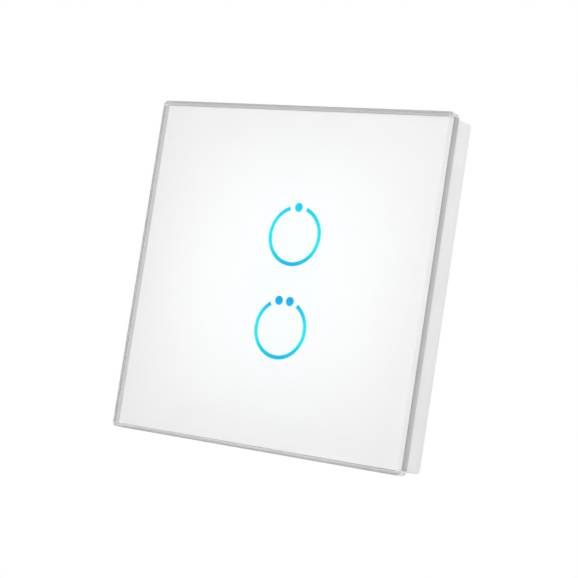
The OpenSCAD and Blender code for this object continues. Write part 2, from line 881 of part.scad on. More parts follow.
module varistor() {
    lead_d = 0.7;
    lift = 1;
    lead_apart = varistor_d / 2;
    color("royalblue") translate([0, row_y, power_back]) {
        cross_rod(0, -lift - varistor_d / 2, varistor_d, -varistor_t / 2, varistor_t / 2);
        for (x = sides) rod(x * lead_apart / 2, 0, lead_d, -lift - varistor_d / 2, 0);
    }
}

module fuse() {
    color("saddlebrown") rod(row_x, row_y, fuse_d, power_back - fuse_h, power_back);
}

// Relays, drawn on their own base with u along the length, v across and w away from the board

module at_relay(i) {
    translate([relay_x[i], relay_y, power_back]) rotate([180, 0, 0]) rotate(90) children();
}

module relay_base(i) {
    half_l = relay_len / 2 - relay_skin - slack;
    half_w = relay_w / 2 - relay_skin - slack;
    color("darkslategray") at_relay(i) difference() {
        block([-half_l, -half_w, 0], [half_l, half_w, relay_base_t]);
        for (u = [post_u, yoke_pin_u]) rod(u, 0, relay_pin_d + slack, -cut, relay_base_t + cut);
    }
}

module relay_bobbin(i) {
    color("ivory") at_relay(i) difference() {
        union() {
            rod(coil_u, 0, bobbin_d, bobbin_bottom, bobbin_bottom + bobbin_flange);
            rod(coil_u, 0, bobbin_tube_d, bobbin_bottom, bobbin_top);
            rod(coil_u, 0, bobbin_d, bobbin_top - bobbin_flange, bobbin_top);
        }
        rod(coil_u, 0, iron_d + slack, bobbin_bottom - cut, bobbin_top + cut);
    }
}

module relay_winding(i) {
    color("chocolate") at_relay(i) difference() {
        rod(
            coil_u, 0, bobbin_d - 2 * wind_step,
            bobbin_bottom + bobbin_flange + slack / 2, bobbin_top - bobbin_flange - slack / 2
        );
        rod(coil_u, 0, bobbin_tube_d + slack, bobbin_bottom, bobbin_top);
    }
}

// Yoke, core and pole, with two ears for the armature's pivot pins
module relay_iron(i) {
    yoke_top = pivot_w - knuckle_r - 2 * slack;
    yoke_half = yoke_thick / 2;
    color("slategray") at_relay(i) difference() {
        union() {
            block([coil_u - iron_d, -arm_half, relay_base_t], [pivot_u + yoke_half, arm_half, bobbin_bottom]);
            block([pivot_u - yoke_half, -ear_out, relay_base_t], [pivot_u + yoke_half, ear_out, yoke_top]);
            rod(coil_u, 0, iron_d, relay_base_t, pole_top);
            rod(coil_u, 0, pole_d, bobbin_top, pole_top);
            rod(yoke_pin_u, 0, relay_pin_d, slack - board_thick, relay_base_t + cut);
            for (v = sides) translate([0, v * (ear_in + ear_out) / 2, 0]) {
                cross_rod(pivot_u, pivot_w, 2 * ear_r, (ear_in - ear_out) / 2, (ear_out - ear_in) / 2);
                block(
                    [pivot_u - yoke_half, (ear_in - ear_out) / 2, yoke_top - cut],
                    [pivot_u + yoke_half, (ear_out - ear_in) / 2, pivot_w]
                );
            }
        }
        cross_rod(pivot_u, pivot_w, pivot_d + 2 * pivot_gap, -relay_w, relay_w);
    }
}

module relay_armature(i) {
    color("lightslategray") at_relay(i) {
        block([arm_tip, -arm_half, arm_bottom], [pivot_u, arm_half, arm_top]);
        cross_rod(pivot_u, pivot_w, 2 * knuckle_r, -arm_half, arm_half);
        cross_rod(pivot_u, pivot_w, pivot_d, -ear_out + slack, ear_out - slack);
    }
}

module relay_contact_spring(i) {
    leaf_root = pivot_u - 2 * knuckle_r;
    color("peru") at_relay(i) {
        block(
            [contact_u - contact_half, -contact_half, arm_top],
            [leaf_root, contact_half, arm_top + leaf_thick]
        );
        rod(contact_u, 0, contact_d, button_low, arm_top + leaf_thick / 2);
    }
}

module relay_fixed_contact(i) {
    tab_top = fixed_top - fixed_tab;
    post_half = fixed_tab / 2;
    color("peru") at_relay(i) {
        block(
            [post_u - post_half, -contact_half, tab_top - fixed_tab],
            [contact_u + contact_half, contact_half, tab_top]
        );
        block([post_u - post_half, -contact_half, relay_base_t], [post_u + post_half, contact_half, tab_top]);
        rod(contact_u, 0, contact_d, tab_top - cut, fixed_top);
        rod(post_u, 0, relay_pin_d, slack - board_thick, relay_base_t + cut);
    }
}

module relay_cover(i) {
    half_l = relay_len / 2;
    half_w = relay_w / 2;
    color([0.15, 0.3, 0.6]) at_relay(i) difference() {
        block([-half_l, -half_w, 0], [half_l, half_w, relay_h]);
        block(
            [-half_l + relay_skin, -half_w + relay_skin, -cut],
            [half_l - relay_skin, half_w - relay_skin, relay_h - relay_skin]
        );
    }
}

// Wire terminals, with depths counted forwards from the back of the housing

module at_pole(i) {
    translate([pole_x[i], 0, house_back]) children();
}

module terminal_block() {
    funnel = 0.6;
    color("darkgray") difference() {
        block([-block_w / 2, block_bottom, house_back], [block_w / 2, block_top, power_back]);
        for (i = [0:pole_count - 1]) at_pole(i) {
            cross_rod(0, wire_depth, wire_d, block_bottom - cut, chamber_low + cut);
            translate([0, block_bottom - cut, wire_depth]) rotate([-90, 0, 0])
                cylinder(h = funnel + cut, d1 = wire_d + 2 * (funnel + cut), d2 = wire_d);
            block(
                [-cage_w / 2 - cage_clear, chamber_low, chamber_back],
                [cage_w / 2 + cage_clear, chamber_high, chamber_front]
            );
            rod(0, cage_mid, clamp_head_d + 4 * slack, -cut, head_floor);
            rod(0, cage_mid, clamp_screw_d + 3 * slack, head_floor - cut, chamber_back + cut);
            block(
                [-leg_w / 2 - slack, leg_low - slack, chamber_front - cut],
                [leg_w / 2 + slack, leg_low + strip_thick + slack, block_depth + cut]
            );
        }
    }
}

// One strip for each pole, with a leg through the power board
module terminal_contacts() {
    strip_half = cage_w / 2 - cage_wall - wire_gap;
    tail_out = 0.8;
    tail = board_thick + tail_out;
    color("khaki") for (i = [0:pole_count - 1]) at_pole(i) {
        block(
            [-strip_half, cage_low, strip_back],
            [strip_half, leg_low + strip_thick, strip_back + strip_thick]
        );
        block([-strip_half, leg_low, strip_back], [strip_half, leg_low + strip_thick, chamber_front - slack]);
        block([-leg_w / 2, leg_low, strip_back], [leg_w / 2, leg_low + strip_thick, block_depth + tail]);
    }
}

module terminal_screw(i) {
    slot = 0.7;
    color("silver") at_pole(i) difference() {
        union() {
            rod(0, cage_mid, clamp_head_d, slack, head_floor);
            rod(0, cage_mid, clamp_screw_d, head_floor - cut, strip_back - slack);
        }
        translate([0, cage_mid, 0])
            block([-clamp_head_d, -slot / 2, 0], [clamp_head_d, slot / 2, slack + clamp_head_h / 2]);
    }
}

module clamp_cage(i) {
    color("lightsteelblue") at_pole(i) difference() {
        block([-cage_w / 2, cage_low, cage_back], [cage_w / 2, cage_low + cage_len, cage_front]);
        block(
            [-cage_w / 2 + cage_wall, cage_low - cut, cage_back + nut_thick],
            [cage_w / 2 - cage_wall, cage_low + cage_len + cut, cage_floor]
        );
        rod(0, cage_mid, clamp_screw_d + 2 * thread_gap, cage_back - cut, cage_back + nut_thick + cut);
    }
}

upright() glass_panel();
upright() white_print();
upright() bonding_tape();
upright() panel_frame();
upright() mounting_plate();
upright() panel_clips();
upright() clip_rivets();
upright() front_housing();
upright() rear_housing();
upright() housing_screws();
upright() light_guide(0);  // light_guide_upper
upright() light_guide(1);  // light_guide_lower
upright() touch_pads();
upright() touch_board();
upright() indicator_leds();
upright() touch_chip();
upright() chip_parts();
upright() header_socket();
upright() header_base();
upright() header_pins();
upright() power_board();
upright() board_screws();
upright() transformer_core();
upright() transformer_coil();
upright() bulk_capacitors();
upright() film_capacitor();
upright() varistor();
upright() fuse();
upright() relay_base(0);  // relay_1_base
upright() relay_bobbin(0);  // relay_1_bobbin
upright() relay_winding(0);  // relay_1_winding
upright() relay_iron(0);  // relay_1_iron
upright() relay_armature(0);  // relay_1_armature
upright() relay_contact_spring(0);  // relay_1_contact_spring
upright() relay_fixed_contact(0);  // relay_1_fixed_contact
upright() relay_cover(0);  // relay_1_cover
upright() relay_base(1);  // relay_2_base
upright() relay_bobbin(1);  // relay_2_bobbin
upright() relay_winding(1);  // relay_2_winding
upright() relay_iron(1);  // relay_2_iron
upright() relay_armature(1);  // relay_2_armature
upright() relay_contact_spring(1);  // relay_2_contact_spring
upright() relay_fixed_contact(1);  // relay_2_fixed_contact
upright() relay_cover(1);  // relay_2_cover
upright() terminal_block();
upright() terminal_contacts();
upright() terminal_screw(0);  // terminal_screw_1
upright() terminal_screw(1);  // terminal_screw_2
upright() terminal_screw(2);  // terminal_screw_3
upright() clamp_cage(0);  // clamp_cage_1
upright() clamp_cage(1);  // clamp_cage_2
upright() clamp_cage(2);  // clamp_cage_3
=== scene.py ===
"""Looks of the touch light switch: edges, finishes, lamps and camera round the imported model.

The file is laid out as an add-on and run as a script. Lengths are in metres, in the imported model's own frame:
X to the right, Z up, the glass towards -Y and the wall plane at Y = 0.
"""

import json
import math

import bmesh
import bpy
from mathutils import Euler, Matrix, Vector

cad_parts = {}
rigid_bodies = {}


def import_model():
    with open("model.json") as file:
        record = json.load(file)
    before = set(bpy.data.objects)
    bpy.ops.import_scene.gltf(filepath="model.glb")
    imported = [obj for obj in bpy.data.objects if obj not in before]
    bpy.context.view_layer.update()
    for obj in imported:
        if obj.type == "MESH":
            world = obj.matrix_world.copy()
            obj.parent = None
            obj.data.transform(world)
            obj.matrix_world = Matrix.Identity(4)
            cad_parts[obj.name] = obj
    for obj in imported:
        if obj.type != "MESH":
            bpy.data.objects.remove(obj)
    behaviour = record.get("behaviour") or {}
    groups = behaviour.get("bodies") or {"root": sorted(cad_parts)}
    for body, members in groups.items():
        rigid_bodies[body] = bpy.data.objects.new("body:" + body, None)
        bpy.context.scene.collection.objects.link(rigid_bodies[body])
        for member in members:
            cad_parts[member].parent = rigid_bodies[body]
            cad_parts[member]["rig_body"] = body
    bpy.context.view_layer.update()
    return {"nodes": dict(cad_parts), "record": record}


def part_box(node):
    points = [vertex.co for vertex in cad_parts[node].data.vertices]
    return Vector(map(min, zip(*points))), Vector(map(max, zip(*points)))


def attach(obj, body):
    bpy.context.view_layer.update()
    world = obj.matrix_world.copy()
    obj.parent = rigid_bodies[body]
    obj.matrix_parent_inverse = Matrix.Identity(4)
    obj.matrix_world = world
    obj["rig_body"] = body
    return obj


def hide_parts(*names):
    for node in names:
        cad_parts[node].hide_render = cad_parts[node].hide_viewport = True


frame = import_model()

bl_info = {
    "name": "Touch light switch",
    "version": (1, 0, 0),
    "blender": (4, 5, 0),
    "location": "3D View > Sidebar > Switch",
    "description": "Builds the looks of a glass touch light switch round its packed model",
    "category": "Object",
}

MM = 0.001
UPPER, LOWER = "light_guide_upper", "light_guide_lower"
# Faces round each corner of a rounded outline
CORNER_STEPS = 12
# Where the camera stands, and the directions to its right and up
CAMERA_PLACE = (0.22994, -0.35261, -0.03005)
CAMERA_RIGHT, CAMERA_UP = (0.8308, 0.5352, 0.1528), (-0.0917, -0.1392, 0.9860)
# Where the lamps stand, and the sides of their squares
KEY_PLACE, KEY_SIZE = (0.2, -1.2, 0.1), 0.9
FILL_PLACE, FILL_SIZE = (0.25, -0.06, 0.25), 0.2


def srgb(red, green, blue):
    """A colour given as 0 to 255 on screen, in the linear values that shaders take."""
    def linear(value):
        value /= 255
        return value / 12.92 if value <= 0.04045 else ((value + 0.055) / 1.055) ** 2.4
    return linear(red), linear(green), linear(blue)


# Sizes and colours that a user would change


def length(name, description, default, high=1.0):
    """A length property."""
    return bpy.props.FloatProperty(
        name=name, description=description, default=default, min=0, max=high, unit="LENGTH", precision=5
    )


def colour(name, description, default):
    """A colour property."""
    return bpy.props.FloatVectorProperty(
        name=name, description=description, default=default, min=0, max=1, size=3, subtype="COLOR"
    )


def level(name, description, default, high=100.0):
    """A plain factor."""
    return bpy.props.FloatProperty(name=name, description=description, default=default, min=0, max=high)


class SwitchSizes(bpy.types.PropertyGroup):
    """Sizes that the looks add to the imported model."""

    glass_bevel: length("Glass bevel", "Width of the polished bevel round the front of the glass", 0.9 * MM)
    bevel_depth: length("Bevel depth", "Depth of the bevel at the edge of the glass", 0.5 * MM)
    glass_corner: length("Glass corner", "Radius of the glass corners", 1.2 * MM)
    glass_arris: length("Glass arris", "Width of the fine facets beside the bevel", 0.06 * MM)
    print_bond: length("Print bond", "How far the white print is fired into the back of the glass", 0.02 * MM)
    mark_gap: length("Mark gap", "Gap between the lit marks and the windows of the print", 0.01 * MM)
    moulded_edge: length("Moulded edge", "Rounding of the edges of the plastic mouldings", 0.22 * MM)
    sheet_edge: length("Sheet edge", "Rounding of the edges of punched metal", 0.1 * MM)
    part_edge: length("Part edge", "Rounding of the edges of the small electrical parts", 0.12 * MM)
    fine_edge: length("Fine edge", "Rounding of the edges of contacts and other fine pieces", 0.05 * MM)
    wire_gauge: length("Wire gauge", "Thickness of the wire wound on the relays", 0.3 * MM)
    rib_height: length("Rib height", "How far the ribs stand out of the module's sides", 0.35 * MM)
    rib_width: length("Rib width", "Width of the ribs on the module's sides", 1.2 * MM)
    rib_pitch: length("Rib pitch", "Distance between the ribs on the module's sides", 6 * MM)
    field_rim: length("Field rim", "Width of the rim round the bare field on the module's back", 6 * MM)
    field_depth: length("Field depth", "Depth of the bare field on the module's back", 0.3 * MM)
    rib_count: bpy.props.IntProperty(
        name="Rib count", description="Number of ribs on each side of the module", default=6, min=1, max=20
    )


class SwitchColours(bpy.types.PropertyGroup):
    """Colours of the visible finishes."""

    film: colour("Print", "White print behind the glass", (0.93, 0.93, 0.93))
    frame: colour("Frame", "White moulded frame", srgb(240, 240, 240))
    module: colour("Module", "Plastic of the module's two shells", srgb(226, 226, 222))
    block: colour("Terminal block", "Grey plastic of the wire terminals", srgb(120, 124, 126))
    glow_middle: colour("Glow, middle", "Light of the rings at mid height", srgb(14, 231, 243))
    glow_low: colour("Glow, low", "Light of the rings near their lowest point", srgb(0, 187, 238))
    glow_dots: colour("Glow, lower dots", "Light of the two dots", srgb(0, 174, 241))
    glow_dot: colour("Glow, upper dot", "Light of the single dot", srgb(0, 212, 245))
    board: colour("Boards", "Solder mask of the circuit boards", (0.02, 0.14, 0.06))
    floor: colour("Floor", "Studio floor", (0.86, 0.86, 0.86))


class SwitchStage(bpy.types.PropertyGroup):
    """The studio round the switch."""

    floor_drop: length("Floor drop", "How far the floor lies under the middle of the switch", 0.35)
    floor_radius: length("Floor radius", "Radius of the floor", 1.8, high=5.0)
    sky: level("Sky", "Level of the even light from all sides", 0.72, high=5)
    key: level("Key lamp", "Power of the large lamp in front", 5.7)
    fill: level("Fill lamp", "Power of the lamp at the right", 0.17)
    lens: bpy.props.FloatProperty(
        name="Lens", description="Focal length of the camera", default=104.4, min=10, max=500, unit="CAMERA"
    )


# Meshes


def put(name, mesh, body, slot, material, *nodes):
    """Makes a mesh a piece that rides on a body, takes a finish and stands for CAD nodes. The slot is not used.
    """
    piece = bpy.data.objects.new(name, mesh)
    bpy.context.scene.collection.objects.link(piece)
    mesh.materials.clear()
    mesh.materials.append(material)
    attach(piece, body)
    if nodes:
        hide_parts(*nodes)
    return piece


def body_of(node):
    """The body that a CAD node belongs to."""
    return frame["nodes"][node]["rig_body"]


def slot_of(node):
    """The record's material slot of a CAD node."""
    return next(s["material_slot"] for s in frame["record"]["subparts"] if s["node"] == node)


def shade(mesh, angle=22):
    """Smooth faces, with the edges past that angle kept sharp."""
    mesh.polygons.foreach_set("use_smooth", [True] * len(mesh.polygons))
    mesh.set_sharp_from_angle(angle=math.radians(angle))
    return mesh


def merged(node):
    """A merged copy of a CAD node's triangles, with flat areas joined into single faces."""
    bm = bmesh.new()
    bm.from_mesh(frame["nodes"][node].data)
    bmesh.ops.remove_doubles(bm, verts=bm.verts, dist=1e-7)
    bmesh.ops.dissolve_limit(bm, angle_limit=math.radians(0.5), verts=bm.verts, edges=bm.edges)
    return bm


def as_mesh(bm, name):
    """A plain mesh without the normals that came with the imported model."""
    mesh = bpy.data.meshes.new(name)
    bm.to_mesh(mesh)
    bm.free()
    for layer in [a for a in mesh.attributes if a.name in ("custom_normal", "sharp_face", "sharp_edge")]:
        mesh.attributes.remove(layer)
    return shade(mesh)


def rounded_copy(node, width, convex_only=False, steps=2):
    """A copy of a CAD node whose sharp edges are rounded by that width."""
    bm = merged(node)
    sharp = [
        e for e in bm.edges
        if e.is_manifold and e.calc_face_angle() > math.radians(30) and (e.is_convex or not convex_only)
    ]
    bmesh.ops.bevel(
        bm, geom=sharp, offset=width, offset_type="OFFSET", segments=steps, profile=0.5, affect="EDGES",
        clamp_overlap=False, material=-1
    )
    return as_mesh(bm, node)


def rounded_piece(name, node, width, material, convex_only=False, steps=2):
    """A rounded copy of a CAD node that stands for it."""
    mesh = rounded_copy(node, width, convex_only, steps)
    return put(name, mesh, body_of(node), slot_of(node), material, node)


def islands(node):
    """The lowest and highest corner of each separate solid in a CAD node."""
    bm = merged(node)
    left, found = set(bm.verts), []
    while left:
        group, todo = [], [left.pop()]
        while todo:
            vert = todo.pop()
            group.append(vert.co.copy())
            near = {e.other_vert(vert) for e in vert.link_edges} & left
            left -= near
            todo += near
        found.append((
            Vector([min(p[i] for p in group) for i in range(3)]),
            Vector([max(p[i] for p in group) for i in range(3)]),
        ))
    bm.free()
    return sorted(found, key=lambda b: (round(b[0].x, 5), round(b[0].z, 5)))


def rounded_outline(half_x, half_z, radius, y):
    """Points of a rectangle with round corners, centred in a plane parallel to the wall."""
    points = []
    for turn, (sx, sz) in enumerate(((1, 1), (-1, 1), (-1, -1), (1, -1))):
        middle_x, middle_z = sx * (half_x - radius), sz * (half_z - radius)
        for i in range(CORNER_STEPS + 1):
            a = math.radians(90 * (turn + i / CORNER_STEPS))
            points.append((middle_x + radius * math.cos(a), y, middle_z + radius * math.sin(a)))
    return points


def loft(loops):
    """A closed solid through loops of points, with flat ends."""
    bm = bmesh.new()
    rings = [[bm.verts.new(p) for p in loop] for loop in loops]
    for a, b in zip(rings, rings[1:]):
        for i in range(len(a)):
            j = (i + 1) % len(a)
            bm.faces.new((a[i], a[j], b[j], b[i]))
    bm.faces.new(rings[0])
    bm.faces.new(rings[-1])
    bmesh.ops.recalc_face_normals(bm, faces=bm.faces)
    return bm


def window_loops(node, y):
    """Loops of points along the edges of a plate's openings in the plane at y, without its own outline."""
    bm = merged(node)
    rim = {
        e for e in bm.edges
        if all(abs(v.co.y - y) < 1e-6 for v in e.verts) and e.calc_face_angle() > math.radians(45)
    }
    loops = []
    while rim:
        edge = rim.pop()
        start, vert = edge.verts
        loop = [start.co.copy()]
        while vert is not start:
            loop.append(vert.co.copy())
            edge = next(e for e in vert.link_edges if e in rim)
            rim.remove(edge)
            vert = edge.other_vert(vert)
        loops.append(loop)
    bm.free()
    return sorted(loops, key=lambda loop: max(p.x for p in loop))[:-1]


def inset_loop(loop, gap, y):
    """A loop in a plane parallel to the wall, moved inwards by a gap, at another depth."""
    area = sum(a.x * b.z - b.x * a.z for a, b in zip(loop, loop[1:] + loop[:1]))
    side = 1 if area > 0 else -1
    moved = []
    for before, here, after in zip(loop[-1:] + loop[:-1], loop, loop[1:] + loop[:1]):
        first, second = (here - before).normalized(), (after - here).normalized()
        inward = side * Vector((-(first.z + second.z), 0, first.x + second.x))
        reach = gap / max(0.5, inward.length / 2)
        moved.append(Vector((here.x, y, here.z)) + inward.normalized() * reach)
    return moved


def lathe(profile, steps=48):
    """A solid turned about the Y axis from points (radius, y), which start and end on the axis."""
    bm = bmesh.new()
    rings = [
        [bm.verts.new((r * math.cos(math.tau * i / steps), y, r * math.sin(math.tau * i / steps)))
         for i in range(steps if r > 0 else 1)]
        for r, y in profile
    ]
    for a, b in zip(rings, rings[1:]):
        for i in range(steps):
            j = (i + 1) % steps
            corners = [a[i % len(a)], a[j % len(a)], b[j % len(b)], b[i % len(b)]]
            bm.faces.new(list(dict.fromkeys(corners)))
    bmesh.ops.recalc_face_normals(bm, faces=bm.faces)
    return bm


def carved(mesh, cutter, crossed=False):
    """A mesh with a cutter's shape taken out. Where it is crossed, the cutter's own parts overlap."""
    parts = [bpy.data.objects.new(m.name, m) for m in (mesh, as_mesh(cutter, "cutter"))]
    for part in parts:
        bpy.context.scene.collection.objects.link(part)
    cut = parts[0].modifiers.new("Cut", "BOOLEAN")
    cut.object, cut.operation, cut.solver, cut.use_self = parts[1], "DIFFERENCE", "EXACT", crossed
    result = bpy.data.meshes.new_from_object(parts[0].evaluated_get(bpy.context.evaluated_depsgraph_get()))
    for part in parts:
        bpy.data.objects.remove(part)
    return shade(result)


# Nodes and finishes


def add_node(tree, kind, values=(), **settings):
    """A new node of a tree with settings, and with values or links for its inputs."""
    made = tree.nodes.new(kind)
    for key, value in settings.items():
        setattr(made, key, value)
    for key, value in dict(values).items():
        if isinstance(value, bpy.types.NodeSocket):
            tree.links.new(value, made.inputs[key])
        else:
            made.inputs[key].default_value = value
    return made


class Finish:
    """A material whose patterns follow the piece's own place, with the helpers that the finishes share."""

    def __init__(self, name, base, roughness, **sockets):
        self.material = bpy.data.materials.new(name)
        self.material.use_nodes = True
        self.tree = self.material.node_tree
        self.shader = self.tree.nodes["Principled BSDF"]
        self.base = tuple(base)
        self.roughness = roughness
        self.shader.inputs["Base Color"].default_value = (*base, 1)
        self.shader.inputs["Roughness"].default_value = roughness
        for socket, value in sockets.items():
            self.shader.inputs[socket.replace("_", " ")].default_value = value
        self.place = self.node("ShaderNodeTexCoord").outputs["Object"]

    def node(self, kind, values=(), **settings):
        """A new node of this material."""
        return add_node(self.tree, kind, values, **settings)

    def stretched(self, stretch):
        """The piece's coordinates scaled along each axis."""
        return self.node("ShaderNodeMapping", {"Vector": self.place, "Scale": stretch}).outputs[0]

    def noise(self, size, detail=3.0, stretch=None):
        """Cloudy noise whose features are about that size."""
        place = self.place if stretch is None else self.stretched(stretch)
        values = {"Vector": place, "Scale": 1 / size, "Detail": detail}
        return self.node("ShaderNodeTexNoise", values).outputs[0]

    def cells(self, size):
        """A random value for each cell of about that size."""
        made = self.node("ShaderNodeTexVoronoi", {"Vector": self.place, "Scale": 1 / size})
        return self.node("ShaderNodeSeparateColor", {0: made.outputs["Color"]}).outputs[0]

    def reach(self, axes):
        """Distance from the origin along the axes that are marked with 1."""
        flat = self.stretched(axes)
        return self.node("ShaderNodeVectorMath", {0: flat}, operation="LENGTH").outputs["Value"]

    def along(self, axis, low, high):
        """0 to 1 along an axis between two places."""
        split = self.node("ShaderNodeSeparateXYZ", {0: self.place}).outputs["XYZ".index(axis)]
        return self.spread(split, 0, 1, low, high)

    def spread(self, value, low, high, start=0.3, end=0.7):
        """Maps a value from start to end onto low to high, clamped."""
        return self.node(
            "ShaderNodeMapRange", {0: value, 1: start, 2: end, 3: low, 4: high}, clamp=True
        ).outputs[0]

    def ramp(self, value, stops):
        """Colours at places from 0 to 1."""
        made = self.node("ShaderNodeValToRGB", {0: value})
        parts = made.color_ramp.elements
        while len(parts) < len(stops):
            parts.new(1.0)
        for part, (place, tint) in zip(parts, stops):
            part.position = place
            part.color = (*tint, 1)
        return made.outputs[0]

    def tint(self, value, darker, lighter):
        """The base colour, from darker to lighter shares of it as the value goes from 0.3 to 0.7."""
        shades = [tuple(min(1.0, c * share) for c in self.base) for share in (darker, lighter)]
        self.drive("Base Color", self.ramp(value, ((0.3, shades[0]), (0.7, shades[1]))))

    def uneven(self, size, smoother, rougher):
        """Roughness that changes in patches of about that size, to both sides of its middle value."""
        self.drive("Roughness", self.spread(
            self.noise(size), self.roughness - smoother, self.roughness + rougher
        ))

    def drive(self, socket, source):
        """Links a source to one of the shader's inputs."""
        self.tree.links.new(source, self.shader.inputs[socket])

    def bump(self, source, depth):
        """Relief of that depth."""
        made = self.node("ShaderNodeBump", {"Height": source, "Strength": 1.0, "Distance": depth})
        self.drive("Normal", made.outputs[0])


def moulded(name, base, roughness=0.42, grain=0.22 * MM, depth=0.003 * MM):
    """Moulded plastic: fine spark-eroded grain, faint flow shades and slightly uneven gloss."""
    f = Finish(name, base, roughness, Specular_IOR_Level=0.4)
    f.tint(f.noise(9 * MM, 2.0), 0.975, 1.015)
    f.uneven(2.5 * MM, 0.04, 0.04)
    f.bump(f.noise(grain, 2.0), depth)
    return f.material


def enamel(name, base, half):
    """Fired white print: smooth, with faint mottling, and with painted shade that darkens it towards the edge
    of the glass.
    """
    mottle, vignette_share, edge_shade_share, edge_shade_width = 0.1, 0.955, 0.98, 2 * MM
    f = Finish(name, base, 0.5, Specular_IOR_Level=0.3)
    # Painted shade: the colour darkens from the middle outwards, a vignette that stands in for light falling
    # off towards the edges.
    painted_vignette = f.node("ShaderNodeMapRange", {
        0: f.reach((1, 0, 1)), 1: 0.3 * half, 2: 1.1 * half,
    }, interpolation_type="SMOOTHSTEP").outputs[0]
    mottle_and_vignette = f.node(
        "ShaderNodeMath", {0: f.noise(3 * MM, 2.0), 1: mottle, 2: painted_vignette}, operation="MULTIPLY_ADD"
    ).outputs[0]
    print_with_vignette = f.ramp(mottle_and_vignette, ((0.05, base), (1.0, tuple(vignette_share * c for c in base))))
    sides = f.node("ShaderNodeVectorMath", {0: f.place}, operation="ABSOLUTE").outputs[0]
    split = f.node("ShaderNodeSeparateXYZ", {0: sides}).outputs
    far = f.node("ShaderNodeMath", {0: split[0], 1: split[2]}, operation="MAXIMUM").outputs[0]
    # Painted shade: a further darkening in the last strip beside the edge of the glass.
    share = f.spread(far, 1.0, edge_shade_share, half - edge_shade_width, half)
    print_with_painted_shade = f.node("ShaderNodeVectorMath", {0: print_with_vignette, "Scale": share}, operation="SCALE").outputs[0]
    f.drive("Base Color", print_with_painted_shade)
    f.uneven(0.5 * MM, 0.04, 0.04)
    return f.material


def glass_start(name, grey, roughness, **sockets):
    """The start of a glass finish, polished or ground, with a barely uneven surface."""
    f = Finish(name, (grey,) * 3, roughness, Transmission_Weight=1.0, IOR=1.5, **sockets)
    f.bump(f.noise(14 * MM, 1.0), 0.0004 * MM)
    return f


def clear_glass(name, grey, roughness, **sockets):
    """Glass of one grey."""
    return glass_start(name, grey, roughness, **sockets).material


def ground_glass(name, shallow, deep, front, back):
    """Ground edge of the glass, with painted shade: greyer beside the bevel and clearer towards the back."""
    f = glass_start(name, deep, 0.35)
    f.drive("Base Color", f.ramp(f.along("Y", front, back), ((0.0, (shallow,) * 3), (1.0, (deep,) * 3))))
    return f.material


def sheet_zinc(name, base):
    """Zinc-plated sheet: crystal patches, rolling lines and uneven gloss."""
    f = Finish(name, base, 0.34, Metallic=1.0)
    patch = f.cells(1.7 * MM)
    rolled = f.noise(0.5 * MM, 3.0, (0.12, 1, 1))
    mixed = f.node("ShaderNodeMath", {0: patch, 1: 0.4, 2: rolled}, operation="MULTIPLY_ADD").outputs[0]
    f.tint(f.spread(mixed, 0.3, 0.7, 0.4, 1.0), 0.9, 1.05)
    f.drive("Roughness", f.spread(patch, 0.3, 0.38, 0, 1))
    f.bump(rolled, 0.002 * MM)
    return f.material


def bright_metal(name, base, roughness, stretch=(0.08, 1, 1)):
    """Drawn or plated metal with fine lines along one axis."""
    f = Finish(name, base, roughness, Metallic=1.0)
    lines = f.noise(0.25 * MM, 3.0, stretch)
    f.tint(lines, 0.86, 1.06)
    f.uneven(1.5 * MM, 0.06, 0.1)
    f.bump(lines, 0.0015 * MM)
    return f.material


def speckled(name, base, roughness, size=0.3 * MM, darker=0.75, lighter=1.2):
    """Pressed or fired stuff: specks of darker and lighter grain."""
    f = Finish(name, base, roughness)
    grain = f.noise(size, 4.0)
    f.tint(grain, darker, lighter)
    f.uneven(2 * MM, 0.08, 0.08)
    f.bump(grain, 0.004 * MM)
    return f.material


def foam(name, base):
    """Open-cell conductive foam."""
    f = Finish(name, base, 0.85, Specular_IOR_Level=0.2)
    pores = f.node("ShaderNodeTexVoronoi", {"Vector": f.place, "Scale": 1 / (0.35 * MM)}).outputs["Distance"]
    f.tint(pores, 0.5, 1.4)
    f.uneven(1 * MM, 0.07, 0.07)
    f.bump(pores, 0.06 * MM)
    return f.material


def lit_guide(name, node, stops):
    """Milky light guide, lit from behind: its light changes with height."""
    low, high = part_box(node)
    f = Finish(name, (0.0, 0.004, 0.006), 0.5, Specular_IOR_Level=0.0, Emission_Strength=1.0)
    f.drive("Emission Color", f.ramp(f.along("Z", low.z, high.z), stops))
    f.uneven(0.6 * MM, 0.06, 0.06)
    return f.material


def solder_mask(name, base):
    """Circuit board: copper tracks and ground areas that show through the solder mask."""
    f = Finish(name, base, 0.3, Coat_Weight=0.4, Coat_Roughness=0.15)
    flat = f.node("ShaderNodeMapping", {"Vector": f.place, "Rotation": (math.radians(90), 0, 0)}).outputs[0]
    tracks = f.node("ShaderNodeTexBrick", {
        "Vector": flat, "Scale": 1 / (9 * MM), "Mortar Size": 0.03, "Mortar Smooth": 0.1, "Bias": 0.0,
        "Brick Width": 0.45, "Row Height": 0.2, "Color1": (0, 0, 0, 1), "Color2": (0.35, 0.35, 0.35, 1),
        "Mortar": (1, 1, 1, 1),
    }).outputs[0]
    f.drive("Base Color", f.ramp(tracks, ((0.0, base), (1.0, tuple(min(1, 2.2 * c + 0.02) for c in base)))))
    f.uneven(0.4 * MM, 0.04, 0.08)
    f.bump(tracks, 0.03 * MM)
    return f.material


def capped(name, base, cap, axis, low, high, roughness=0.3):
    """A sleeve of one colour whose end, past a place along an axis, is bare metal."""
    f = Finish(name, base, roughness)
    share = f.along(axis, low, high)
    f.drive("Base Color", f.ramp(share, ((0.0, base), (1.0, cap))))
    f.drive("Metallic", share)
    f.uneven(0.8 * MM, 0.06, 0.06)
    f.bump(f.noise(0.3 * MM), 0.002 * MM)
    return f.material


def keep_node(node, material):
    """Gives a CAD node, whose shape is right, its finish."""
    mesh_slots = frame["nodes"][node].material_slots
    if not mesh_slots:
        raise RuntimeError(f"{node} has no material slot")
    for mesh_slot in mesh_slots:
        mesh_slot.material = material


# Geometry Nodes


